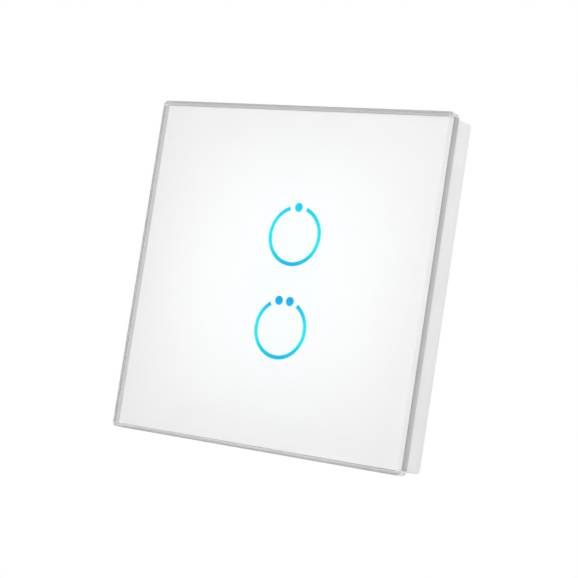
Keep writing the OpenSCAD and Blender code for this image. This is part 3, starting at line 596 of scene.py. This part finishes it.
def tree_with(name, sockets):
    """The named inputs of a new node tree, a maker of its nodes, and what closes it with its finish."""
    tree = bpy.data.node_groups.new(name, "GeometryNodeTree")
    tree.interface.new_socket("Geometry", in_out="INPUT", socket_type="NodeSocketGeometry")
    for label, kind in sockets:
        tree.interface.new_socket(label, in_out="INPUT", socket_type=kind)
    tree.interface.new_socket("Geometry", in_out="OUTPUT", socket_type="NodeSocketGeometry")
    inputs, outputs = tree.nodes.new("NodeGroupInput"), tree.nodes.new("NodeGroupOutput")

    def add(kind, values=(), **settings):
        return add_node(tree, kind, values, **settings)

    def close(geometry):
        real, finish = add("GeometryNodeRealizeInstances", {"Geometry": geometry}), inputs.outputs["Finish"]
        done = add("GeometryNodeSetMaterial", {"Geometry": real.outputs[0], "Material": finish})
        tree.links.new(done.outputs[0], outputs.inputs[0])
        return tree

    return inputs.outputs, add, close


def repeat_tree():
    """Copies of one shape on points, each turned about Y by its own angle."""
    take, add, close = tree_with("Repeated Part", [
        ("Shape", "NodeSocketObject"), ("Finish", "NodeSocketMaterial"),
    ])
    shape = add("GeometryNodeObjectInfo", {"Object": take["Shape"]}).outputs["Geometry"]
    turn = add("GeometryNodeInputNamedAttribute", {"Name": "turn"}, data_type="FLOAT").outputs[0]
    rotation = add("ShaderNodeCombineXYZ", {"Y": turn}).outputs[0]
    copies = add("GeometryNodeInstanceOnPoints", {
        "Points": take["Geometry"], "Instance": shape, "Rotation": rotation,
    })
    return close(copies.outputs[0])


def winding_tree():
    """Wire wound in a helix about Y."""
    take, add, close = tree_with("Winding", [
        ("Turns", "NodeSocketFloat"), ("Radius", "NodeSocketFloat"), ("Length", "NodeSocketFloat"),
        ("Wire Radius", "NodeSocketFloat"), ("Place", "NodeSocketVector"), ("Finish", "NodeSocketMaterial"),
    ])
    helix = add("GeometryNodeCurveSpiral", {
        "Resolution": 40, "Rotations": take["Turns"], "Height": take["Length"],
        "Start Radius": take["Radius"], "End Radius": take["Radius"],
    }).outputs[0]
    stood = add("GeometryNodeTransform", {
        "Geometry": helix, "Translation": take["Place"], "Rotation": (math.radians(90), 0, 0),
    }).outputs[0]
    section = add("GeometryNodeCurvePrimitiveCircle", {
        "Resolution": 8, "Radius": take["Wire Radius"],
    }).outputs[0]
    wire = add("GeometryNodeCurveToMesh", {"Curve": stood, "Profile Curve": section, "Fill Caps": True})
    return close(wire.outputs[0])


TREES = {"Repeated Part": repeat_tree, "Winding": winding_tree}


def grown(name, kind, values, points=((0, 0, 0),), turns=(0,)):
    """The plain mesh that a kind of node tree makes from points, with its inputs set by their names here."""
    tree = bpy.data.node_groups.get(kind) or TREES[kind]()
    seed = bpy.data.meshes.new(name + "_points")
    seed.from_pydata([tuple(p) for p in points], [], [])
    layer = seed.attributes.new("turn", "FLOAT", "POINT")
    layer.data.foreach_set("value", [float(t) for t in turns])
    holder = bpy.data.objects.new(name + "_points", seed)
    bpy.context.scene.collection.objects.link(holder)
    modifier = holder.modifiers.new("Grow", "NODES")
    modifier.node_group = tree
    idents = {i.name: i.identifier for i in tree.interface.items_tree if i.in_out == "INPUT"}
    for label, value in values.items():
        modifier[idents[label]] = value
    mesh = bpy.data.meshes.new_from_object(holder.evaluated_get(bpy.context.evaluated_depsgraph_get()))
    holder.modifiers.remove(modifier)
    bpy.data.objects.remove(holder)
    bpy.data.meshes.remove(seed)
    if not mesh.polygons:
        raise RuntimeError(f"the node tree for {name} made no faces")
    mesh.name = name
    for layer in [a for a in mesh.attributes if a.name == "turn"]:
        mesh.attributes.remove(layer)
    return mesh


def prototype(name, bm):
    """A hidden shape that a node tree copies."""
    return bpy.data.objects.new(name, as_mesh(bm, name))


def repeated_piece(name, node, shape, material, turns, place):
    """Copies of a shape at each separate solid of a CAD node, as one piece that stands for it."""
    spots = [place(low, high) for low, high in islands(node)]
    mesh = grown(name, "Repeated Part", {"Shape": shape, "Finish": material}, spots, turns)
    piece = put(name, shade(mesh), body_of(node), slot_of(node), material, node)
    bpy.data.objects.remove(shape)
    return piece


def cross_head_screw(name, head_r, head_h, shank_r, shank_l):
    """A pan-head screw along Y with cross recess and thread, its seat at Y = 0 and its head towards -Y."""
    pitch, plain, lip, point = 0.5 * MM, 0.3 * MM, 0.06 * MM, 0.2 * MM
    arc = [math.radians(a) for a in range(0, 91, 10)]
    crown = [(head_r * math.sin(a), -head_h * (0.45 + 0.55 * math.cos(a))) for a in arc]
    thread = []
    y = plain
    while y < shank_l - pitch:
        thread += [(shank_r * 0.82, y), (shank_r, y + pitch * 0.4), (shank_r, y + pitch * 0.5)]
        y += pitch
    bm = lathe([
        *crown, (head_r, -lip), (head_r - lip, 0), (shank_r, 0), *thread,
        (shank_r * 0.8, shank_l - point), (shank_r * 0.5, shank_l), (0, shank_l),
    ], 36)
    cutter = bmesh.new()
    arm, half, deep = head_r * 0.62, head_r * 0.13, head_h * 0.62
    for turn in (0, 90):
        made = bmesh.ops.create_cube(cutter, size=1.0)["verts"]
        for v in made:
            taper = 1.0 if v.co.y < 0 else 0.55
            v.co = Vector((v.co.x * 2 * arm * taper, v.co.y * 2 * deep - head_h, v.co.z * 2 * half * taper))
        bmesh.ops.rotate(cutter, verts=made, matrix=Euler((0, math.radians(turn), 0)).to_matrix())
    return bpy.data.objects.new(name, carved(as_mesh(bm, name), cutter, crossed=True))


# Operators, one for each piece or group of like pieces


class SWITCH_OT_glass(bpy.types.Operator):
    """Makes the bevelled glass plate"""

    bl_idname = "switch.glass"
    bl_label = "Glass"

    def execute(self, context):
        sizes = context.scene.switch_sizes
        low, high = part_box("glass_panel")
        half, front, back = high.x, low.y, high.y + sizes.print_bond
        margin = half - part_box("white_print")[1].x
        wide, deep, arris = sizes.glass_bevel, sizes.bevel_depth, sizes.glass_arris
        least_radius = 0.4 * MM
        run = arris / math.hypot(wide, deep)
        profile = [
            (wide + arris, front), (wide * (1 - run), front + run * deep),
            (run * wide, front + deep * (1 - run)), (0, front + deep + arris),
            (0, back - arris), (arris, back), (margin, back),
        ]
        loops = [
            rounded_outline(half - inset, half - inset, max(sizes.glass_corner - inset, least_radius), y)
            for inset, y in profile
        ]
        mesh = shade(as_mesh(loft(loops), "glass_plate"), 12)
        # The white room in a full reflection would lay a veil over the lit marks
        polished = clear_glass("Polished glass", 1.0, 0.0, Specular_Tint=(0.25, 0.25, 0.25, 1.0))
        put("glass_plate", mesh, "front_panel", "clear_glass", polished, "glass_panel")
        mesh.materials.append(clear_glass("Satin bevel", 0.8, 0.45))
        # The ground edge's grey, deepest beside the bevel, is painted shade.
        mesh.materials.append(ground_glass("Ground glass edge", 0.11, 0.42, front + deep, back))
        # The margin's dark grey tint is painted shade, in place of the shadowed gap behind it.
        mesh.materials.append(clear_glass("Glass margin", 0.33, 0.3))
        mesh.materials.append(clear_glass("Ground glass corner", 0.95, 0.5))
        plain, bevel, side, rim, corner = range(5)
        bands = (bevel, bevel, bevel, side, side, rim)
        count = len(loops[0])
        for face in mesh.polygons:
            row, place = divmod(face.index, count)
            look = bands[row] if row < len(bands) else plain
            rounded = (place + 1) % (CORNER_STEPS + 1) > 0
            face.material_index = corner if rounded and look in (bevel, side) else look
        return {"FINISHED"}


class SWITCH_OT_print(bpy.types.Operator):
    """Finishes the white print and the bonding tape"""

    bl_idname = "switch.print"
    bl_label = "Print and tape"

    def execute(self, context):
        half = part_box("white_print")[1].x
        keep_node("white_print", enamel("White print", tuple(context.scene.switch_colours.film), half))
        keep_node("bonding_tape", speckled("Bonding tape", (0.7, 0.7, 0.7), 0.7, 0.2 * MM, 0.95, 1.05))
        return {"FINISHED"}


class SWITCH_OT_frame(bpy.types.Operator):
    """Makes the moulded frame behind the glass"""

    bl_idname = "switch.frame"
    bl_label = "Panel frame"

    def execute(self, context):
        scene = context.scene
        finish = moulded("White moulding", scene.switch_colours.frame)
        rounded_piece("frame_moulding", "panel_frame", scene.switch_sizes.moulded_edge, finish, steps=3)
        return {"FINISHED"}


class SWITCH_OT_plate(bpy.types.Operator):
    """Makes the steel mounting plate and its spring clips"""

    bl_idname = "switch.plate"
    bl_label = "Mounting plate and clips"

    def execute(self, context):
        edge = context.scene.switch_sizes.sheet_edge
        rounded_piece("wall_plate", "mounting_plate", edge, sheet_zinc("Zinc sheet", (0.66, 0.67, 0.68)))
        spring = bright_metal("Spring strip", (0.6, 0.62, 0.65), 0.22)
        rounded_piece("spring_clips", "panel_clips", edge, spring)
        return {"FINISHED"}


class SWITCH_OT_fasteners(bpy.types.Operator):
    """Makes the rivets of the clips and the screws of the housing and of the power board"""

    bl_idname = "switch.fasteners"
    bl_label = "Rivets and screws"

    def execute(self, context):
        plated = bright_metal("Plated screw", (0.74, 0.74, 0.73), 0.24, (1, 0.1, 1))
        low, high = islands("clip_rivets")[0]
        dome_h, pin_r, lip = 0.6 * MM, 1.0 * MM, 0.05 * MM
        head_r, seat = (high.x - low.x) / 2, low.y + dome_h
        pin_l = high.y - seat
        arc = [math.radians(a) for a in range(0, 91, 10)]
        dome = [(head_r * math.sin(a), -dome_h * math.cos(a)) for a in arc]
        rivet = lathe([*dome, (head_r - lip, 0.0), (pin_r, 0.0), (pin_r, pin_l), (0, pin_l)], 32)
        repeated_piece(
            "plate_rivets", "clip_rivets", prototype("rivet_shape", rivet), plated, [0] * 4,
            lambda a, b: ((a.x + b.x) / 2, seat, (a.z + b.z) / 2)
        )
        for name, node, head_h, shank_r, turns in (
            ("module_screws", "housing_screws", 1.6 * MM, 1.2 * MM, (0.3, 1.0, 0.6, 0.1)),
            ("power_board_screws", "board_screws", 1.2 * MM, 0.95 * MM, (0.2, 0.7, 1.1, 0.5)),
        ):
            low, high = islands(node)[0]
            shape = cross_head_screw(
                name + "_shape", (high.x - low.x) / 2, head_h, shank_r, high.y - low.y - head_h
            )
            repeated_piece(
                name, node, shape, plated, turns,
                lambda a, b, rise=head_h: ((a.x + b.x) / 2, a.y + rise, (a.z + b.z) / 2)
            )
        return {"FINISHED"}


class SWITCH_OT_shells(bpy.types.Operator):
    """Makes the two plastic shells of the module"""

    bl_idname = "switch.shells"
    bl_label = "Module shells"

    def execute(self, context):
        scene = context.scene
        finish = moulded("Module moulding", scene.switch_colours.module, 0.48, 0.3 * MM, 0.006 * MM)
        sizes = scene.switch_sizes
        rounded_piece("front_shell", "front_housing", sizes.moulded_edge, finish)
        node = "rear_housing"
        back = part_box(node)[1].y
        rear = [v.co for v in frame["nodes"][node].data.vertices if v.co.y > back / 2]
        wall, top = max(p.x for p in rear), max(p.z for p in rear)
        mesh = rounded_copy(node, sizes.moulded_edge)
        for cutter in self.back_cutters(sizes, wall, top, back):
            mesh = carved(mesh, cutter)
        put("rear_shell", mesh, body_of(node), slot_of(node), finish, node)
        self.make_ribs(sizes, finish, wall, back)
        return {"FINISHED"}

    def back_cutters(self, sizes, wall, top, back):
        """Cutters for the shallow bare field on the module's back and for the gate's dimple in it."""
        rim, deep = sizes.field_rim, sizes.field_depth
        low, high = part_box("terminal_block")[1].z + rim, top - rim
        middle = (low + high) / 2
        field = loft([
            rounded_outline(wall - rim - inset, high - middle - inset, 2 * MM - inset, y)
            for inset, y in ((-0.1 * deep, back + 0.3 * deep), (0.3 * deep, back - deep))
        ])
        floor, dimple, nub = back - deep, 1.6 * MM, 0.6 * MM
        gate = lathe([
            (0, back + 0.1 * MM), (dimple, back + 0.1 * MM), (dimple - 0.2 * MM, floor - deep),
            (nub, floor - deep), (nub - 0.1 * MM, floor - 0.2 * deep), (0, floor - 0.2 * deep),
        ])
        for cutter in (field, gate):
            bmesh.ops.translate(cutter, verts=cutter.verts, vec=(0, 0, middle))
        return field, gate

    def make_ribs(self, sizes, finish, wall, back):
        """Low ribs along both sides of the rear shell."""
        start, end = 0.25 * back, 0.9 * back
        high, half, sunk, soft = sizes.rib_height, sizes.rib_width / 2, 0.1 * MM, 0.15 * MM
        levels = ((start, soft), (start + high - soft, high), (end - high + soft, high), (end, soft))
        rib = loft([
            [(-sunk, y, -half), (top - soft, y, -half), (top, y, soft - half),
             (top, y, half - soft), (top - soft, y, half), (-sunk, y, half)]
            for y, top in levels
        ])
        shape = prototype("rib_shape", rib)
        rows = [(i - (sizes.rib_count - 1) / 2) * sizes.rib_pitch for i in range(sizes.rib_count)]
        spots = [(side * wall, 0, z) for side in (1, -1) for z in rows]
        turns = [turn for turn in (0, math.pi) for _ in rows]
        mesh = grown("side_ribs", "Repeated Part", {"Shape": shape, "Finish": finish}, spots, turns)
        put("side_ribs", shade(mesh), "module", "module_plastic", finish)
        bpy.data.objects.remove(shape)


class SWITCH_OT_lights(bpy.types.Operator):
    """Makes the lit ring guides, their lamps and the foam touch pads"""

    bl_idname = "switch.lights"
    bl_label = "Ring lights and touch pads"

    def execute(self, context):
        sizes, tints = context.scene.switch_sizes, context.scene.switch_colours
        low, middle = tuple(tints.glow_low), tuple(tints.glow_middle)
        dot, dots = tuple(tints.glow_dot), tuple(tints.glow_dots)
        glow = {
            UPPER: ((0.12, low), (0.35, middle), (0.62, middle), (0.9, dot)),
            LOWER: ((0.1, low), (0.35, middle), (0.6, middle), (0.88, dots)),
        }
        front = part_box("white_print")[0].y
        openings = window_loops("white_print", front)
        for node, stops in glow.items():
            lows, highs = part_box(node)
            bm = bmesh.new()
            bm.from_mesh(rounded_copy(node, sizes.part_edge))
            for loop in openings:
                if lows.z < loop[0].z < highs.z:
                    ends = lows.y + sizes.part_edge, front + sizes.print_bond / 2
                    part = as_mesh(loft([inset_loop(loop, sizes.mark_gap, y) for y in ends]), "mark")
                    bm.from_mesh(part)
                    bpy.data.meshes.remove(part)
            mesh = as_mesh(bm, node)
            finish = lit_guide("Lit " + node, node, stops)
            put("lit_" + node, mesh, body_of(node), slot_of(node), finish, node)
        lamp = speckled("Lamp epoxy", (0.85, 0.84, 0.6), 0.2, 0.3 * MM, 0.95, 1.05)
        rounded_piece("ring_lamps", "indicator_leds", sizes.fine_edge, lamp)
        pad = foam("Conductive foam", (0.035, 0.035, 0.04))
        rounded_piece("foam_pads", "touch_pads", 2 * sizes.part_edge, pad)
        return {"FINISHED"}


class SWITCH_OT_boards(bpy.types.Operator):
    """Makes the two circuit boards, the chip and the plug between them"""

    bl_idname = "switch.boards"
    bl_label = "Circuit boards"

    def execute(self, context):
        edge, green = context.scene.switch_sizes.fine_edge, tuple(context.scene.switch_colours.board)
        rounded_piece("touch_circuit", "touch_board", edge, solder_mask("Touch board", green))
        rounded_piece("power_circuit", "power_board", edge, solder_mask("Power board", green))
        lead, blend = 1.0 * MM, 0.05 * MM
        body_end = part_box("touch_chip")[1].z - lead
        chip = capped("Chip epoxy", (0.02,) * 3, (0.7,) * 3, "Z", body_end, body_end + blend, 0.5)
        rounded_piece("touch_circuit_chip", "touch_chip", edge, chip)
        ceramic = speckled("Chip part ceramic", (0.4, 0.3, 0.2), 0.5, 0.15 * MM)
        rounded_piece("small_chip_parts", "chip_parts", edge, ceramic)
        plug = moulded("Plug moulding", (0.025, 0.025, 0.025), 0.4, 0.15 * MM)
        rounded_piece("plug_socket", "header_socket", edge, plug)
        rounded_piece("plug_base", "header_base", edge, plug)
        gilt = bright_metal("Gilt pin", (0.83, 0.62, 0.28), 0.2, (1, 0.1, 1))
        rounded_piece("plug_pins", "header_pins", edge, gilt)
        return {"FINISHED"}


class SWITCH_OT_power_parts(bpy.types.Operator):
    """Makes the transformer, the capacitors, the varistor and the fuse"""

    bl_idname = "switch.power_parts"
    bl_label = "Power parts"

    def execute(self, context):
        edge = context.scene.switch_sizes.part_edge
        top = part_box("bulk_capacitors")[0].y
        ferrite = speckled("Ferrite", (0.05, 0.05, 0.055), 0.55)
        rounded_piece("transformer_ferrite", "transformer_core", edge, ferrite)
        tape = moulded("Winding tape", (0.8, 0.55, 0.06), 0.3, 0.5 * MM)
        rounded_piece("transformer_winding", "transformer_coil", edge, tape)
        sleeve = capped("Can sleeve", (0.012, 0.02, 0.06), (0.75, 0.75, 0.76), "Y", top + 0.1 * MM, top)
        rounded_piece("storage_cans", "bulk_capacitors", edge, sleeve)
        box = moulded("Film capacitor box", (0.8, 0.58, 0.04), 0.3, 0.4 * MM)
        rounded_piece("film_box", "film_capacitor", 2 * edge, box)
        dipped = moulded("Dipped epoxy", (0.02, 0.09, 0.4), 0.25, 0.8 * MM)
        rounded_piece("varistor_disc", "varistor", 3 * edge, dipped)
        rounded_piece("fuse_cap", "fuse", 2 * edge, moulded("Fuse cap", (0.09, 0.04, 0.02), 0.45))
        return {"FINISHED"}


class SWITCH_OT_relays(bpy.types.Operator):
    """Makes the two relays with their wound coils"""

    bl_idname = "switch.relays"
    bl_label = "Relays"

    def execute(self, context):
        sizes = context.scene.switch_sizes
        iron = bright_metal("Relay iron", (0.5, 0.51, 0.52), 0.35, (1, 0.1, 1))
        bronze = bright_metal("Contact bronze", (0.75, 0.5, 0.28), 0.25, (1, 1, 0.1))
        copper = bright_metal("Enamelled wire", (0.72, 0.3, 0.12), 0.28)
        looks = {
            "base": (moulded("Relay base", (0.03, 0.03, 0.035), 0.45), sizes.part_edge),
            "bobbin": (moulded("Bobbin moulding", (0.8, 0.75, 0.62), 0.45), sizes.fine_edge),
            "iron": (iron, sizes.fine_edge),
            "armature": (iron, sizes.fine_edge),
            "contact_spring": (bronze, 0.6 * sizes.fine_edge),
            "fixed_contact": (bronze, 0.8 * sizes.fine_edge),
            "cover": (moulded("Relay cover", (0.03, 0.08, 0.26), 0.3), sizes.part_edge),
        }
        for k in (1, 2):
            for part, (finish, edge) in looks.items():
                rounded_piece(f"relay_{k}_{part}_piece", f"relay_{k}_{part}", edge, finish, convex_only=True)
            node = f"relay_{k}_winding"
            low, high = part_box(node)
            wire = sizes.wire_gauge / 2
            run = high.y - low.y - 2 * wire
            mesh = grown(f"relay_{k}_wire", "Winding", {
                "Turns": run / (2.1 * wire), "Radius": (high.x - low.x) / 2 - wire, "Length": run,
                "Wire Radius": wire, "Finish": copper,
                "Place": ((low.x + high.x) / 2, high.y - wire, (low.z + high.z) / 2),
            })
            put(f"relay_{k}_wire", shade(mesh, 60), body_of(node), slot_of(node), copper, node)
        return {"FINISHED"}


class SWITCH_OT_terminals(bpy.types.Operator):
    """Makes the terminal block with its contacts, clamp screws and cages"""

    bl_idname = "switch.terminals"
    bl_label = "Wire terminals"

    def execute(self, context):
        scene = context.scene
        sizes = scene.switch_sizes
        block = moulded("Terminal moulding", scene.switch_colours.block, 0.5, 0.3 * MM, 0.005 * MM)
        rounded_piece("wire_block", "terminal_block", 0.8 * sizes.moulded_edge, block)
        tinned = bright_metal("Tinned brass", (0.76, 0.73, 0.62), 0.25, (1, 1, 0.1))
        rounded_piece("contact_strips", "terminal_contacts", sizes.fine_edge, tinned)
        plated = bright_metal("Clamp steel", (0.7, 0.71, 0.7), 0.26, (1, 0.1, 1))
        edge = sizes.sheet_edge
        for k in (1, 2, 3):
            rounded_piece(f"clamp_screw_{k}_piece", f"terminal_screw_{k}", edge, plated, convex_only=True)
            rounded_piece(f"wire_cage_{k}", f"clamp_cage_{k}", edge, plated, convex_only=True)
        return {"FINISHED"}


class SWITCH_OT_stage(bpy.types.Operator):
    """Sets the floor, the light and the camera"""

    bl_idname = "switch.stage"
    bl_label = "Stage"

    def execute(self, context):
        scene = context.scene
        stage = scene.switch_stage
        scene.view_settings.view_transform = "Standard"
        # Without this, gloss is blurred after a diffuse bounce and a print behind glass comes out too dark
        scene.cycles.blur_glossy = 0.0
        self.make_floor(scene, stage)
        self.make_sky(scene, stage)
        self.make_lamp(scene, "Key", KEY_PLACE, KEY_SIZE, stage.key)
        self.make_lamp(scene, "Fill", FILL_PLACE, FILL_SIZE, stage.fill)
        self.make_camera(scene, stage)
        return {"FINISHED"}

    def make_floor(self, scene, stage):
        """A round pale floor that fades into the white background."""
        bm = bmesh.new()
        bmesh.ops.create_circle(bm, cap_ends=True, segments=128, radius=stage.floor_radius)
        bmesh.ops.translate(bm, verts=bm.verts, vec=(0, 0, -stage.floor_drop))
        f = Finish("Studio floor", scene.switch_colours.floor, 0.8, Specular_IOR_Level=0.1)
        f.tint(f.noise(0.3, 2.0), 0.99, 1.01)
        glow = f.node("ShaderNodeEmission", {"Color": (1, 1, 1, 1), "Strength": 1.0})
        fade_start, fade_end = 0.12 * stage.floor_radius, 0.6 * stage.floor_radius
        share = f.spread(f.reach((1, 1, 0)), 0, 1, fade_start, fade_end)
        mixed = f.node("ShaderNodeMixShader", {0: share, 1: f.shader.outputs[0], 2: glow.outputs[0]})
        f.tree.links.new(mixed.outputs[0], f.tree.nodes["Material Output"].inputs["Surface"])
        floor = bpy.data.objects.new("studio_floor", as_mesh(bm, "studio_floor"))
        floor.data.materials.append(f.material)
        scene.collection.objects.link(floor)

    def make_sky(self, scene, stage):
        """Even light from all sides, seen as plain white by the camera and in gloss and glass."""
        scene.world = bpy.data.worlds.new("Studio")
        scene.world.use_nodes = True
        tree = scene.world.node_tree
        lit = tree.nodes["Background"]
        lit.inputs["Color"].default_value = (1, 1, 1, 1)
        lit.inputs["Strength"].default_value = stage.sky
        white = add_node(tree, "ShaderNodeBackground", {"Color": (1, 1, 1, 1), "Strength": 1.0})
        path = add_node(tree, "ShaderNodeLightPath").outputs
        seen = path["Is Camera Ray"]
        for kind in ("Is Glossy Ray", "Is Transmission Ray"):
            seen = add_node(tree, "ShaderNodeMath", {0: seen, 1: path[kind]}, operation="MAXIMUM").outputs[0]
        mixed = add_node(tree, "ShaderNodeMixShader", {0: seen, 1: lit.outputs[0], 2: white.outputs[0]})
        tree.links.new(mixed.outputs[0], tree.nodes["World Output"].inputs["Surface"])

    def make_lamp(self, scene, name, place, size, power):
        """A square soft lamp that points at the switch."""
        data = bpy.data.lights.new(name, "AREA")
        data.shape, data.size, data.energy = "SQUARE", size, power
        lamp = bpy.data.objects.new(name, data)
        lamp.location = place
        lamp.rotation_euler = (-Vector(place)).to_track_quat("-Z", "Y").to_euler()
        lamp.visible_camera = lamp.visible_glossy = False
        scene.collection.objects.link(lamp)

    def make_camera(self, scene, stage):
        """The camera at the photograph's own angle."""
        data = bpy.data.cameras.new("Camera")
        data.lens, data.sensor_width = stage.lens, 36.0
        data.clip_start, data.clip_end = 0.01, 20.0
        camera = bpy.data.objects.new("Camera", data)
        right = Vector(CAMERA_RIGHT).normalized()
        back = right.cross(Vector(CAMERA_UP)).normalized()
        turned = Matrix((right, back.cross(right), back)).transposed().to_4x4()
        camera.matrix_world = Matrix.Translation(CAMERA_PLACE) @ turned
        scene.collection.objects.link(camera)
        scene.camera = camera


class SWITCH_PT_panel(bpy.types.Panel):
    """Lists the steps that build the switch"""

    bl_idname = "SWITCH_PT_panel"
    bl_label = "Touch light switch"
    bl_space_type = "VIEW_3D"
    bl_region_type = "UI"
    bl_category = "Switch"

    def draw(self, context):
        for group in ("switch_sizes", "switch_colours", "switch_stage"):
            box = self.layout.box()
            values = getattr(context.scene, group)
            for key in values.__annotations__:
                box.prop(values, key)
        for operator in OPERATORS:
            self.layout.operator(operator.bl_idname)


GROUPS = {"switch_sizes": SwitchSizes, "switch_colours": SwitchColours, "switch_stage": SwitchStage}
OPERATORS = (
    SWITCH_OT_glass, SWITCH_OT_print, SWITCH_OT_frame, SWITCH_OT_plate, SWITCH_OT_fasteners,
    SWITCH_OT_shells, SWITCH_OT_lights, SWITCH_OT_boards, SWITCH_OT_power_parts, SWITCH_OT_relays,
    SWITCH_OT_terminals, SWITCH_OT_stage,
)


def register():
    """Registers the classes and the scene's values."""
    for cls in (*GROUPS.values(), *OPERATORS, SWITCH_PT_panel):
        bpy.utils.register_class(cls)
    for name, group in GROUPS.items():
        setattr(bpy.types.Scene, name, bpy.props.PointerProperty(type=group))


def unregister():
    """Takes the scene's values and the classes away again."""
    for name in GROUPS:
        delattr(bpy.types.Scene, name)
    for cls in (SWITCH_PT_panel, *reversed(OPERATORS), *reversed(GROUPS.values())):
        bpy.utils.unregister_class(cls)


def main():
    """Builds the switch."""
    register()
    switch = bpy.ops.switch
    for step in (
        switch.glass, switch.print, switch.frame, switch.plate, switch.fasteners, switch.shells,
        switch.lights, switch.boards, switch.power_parts, switch.relays, switch.terminals, switch.stage,
    ):
        step()
    bpy.context.view_layer.update()


if __name__ == "__main__":
    main()
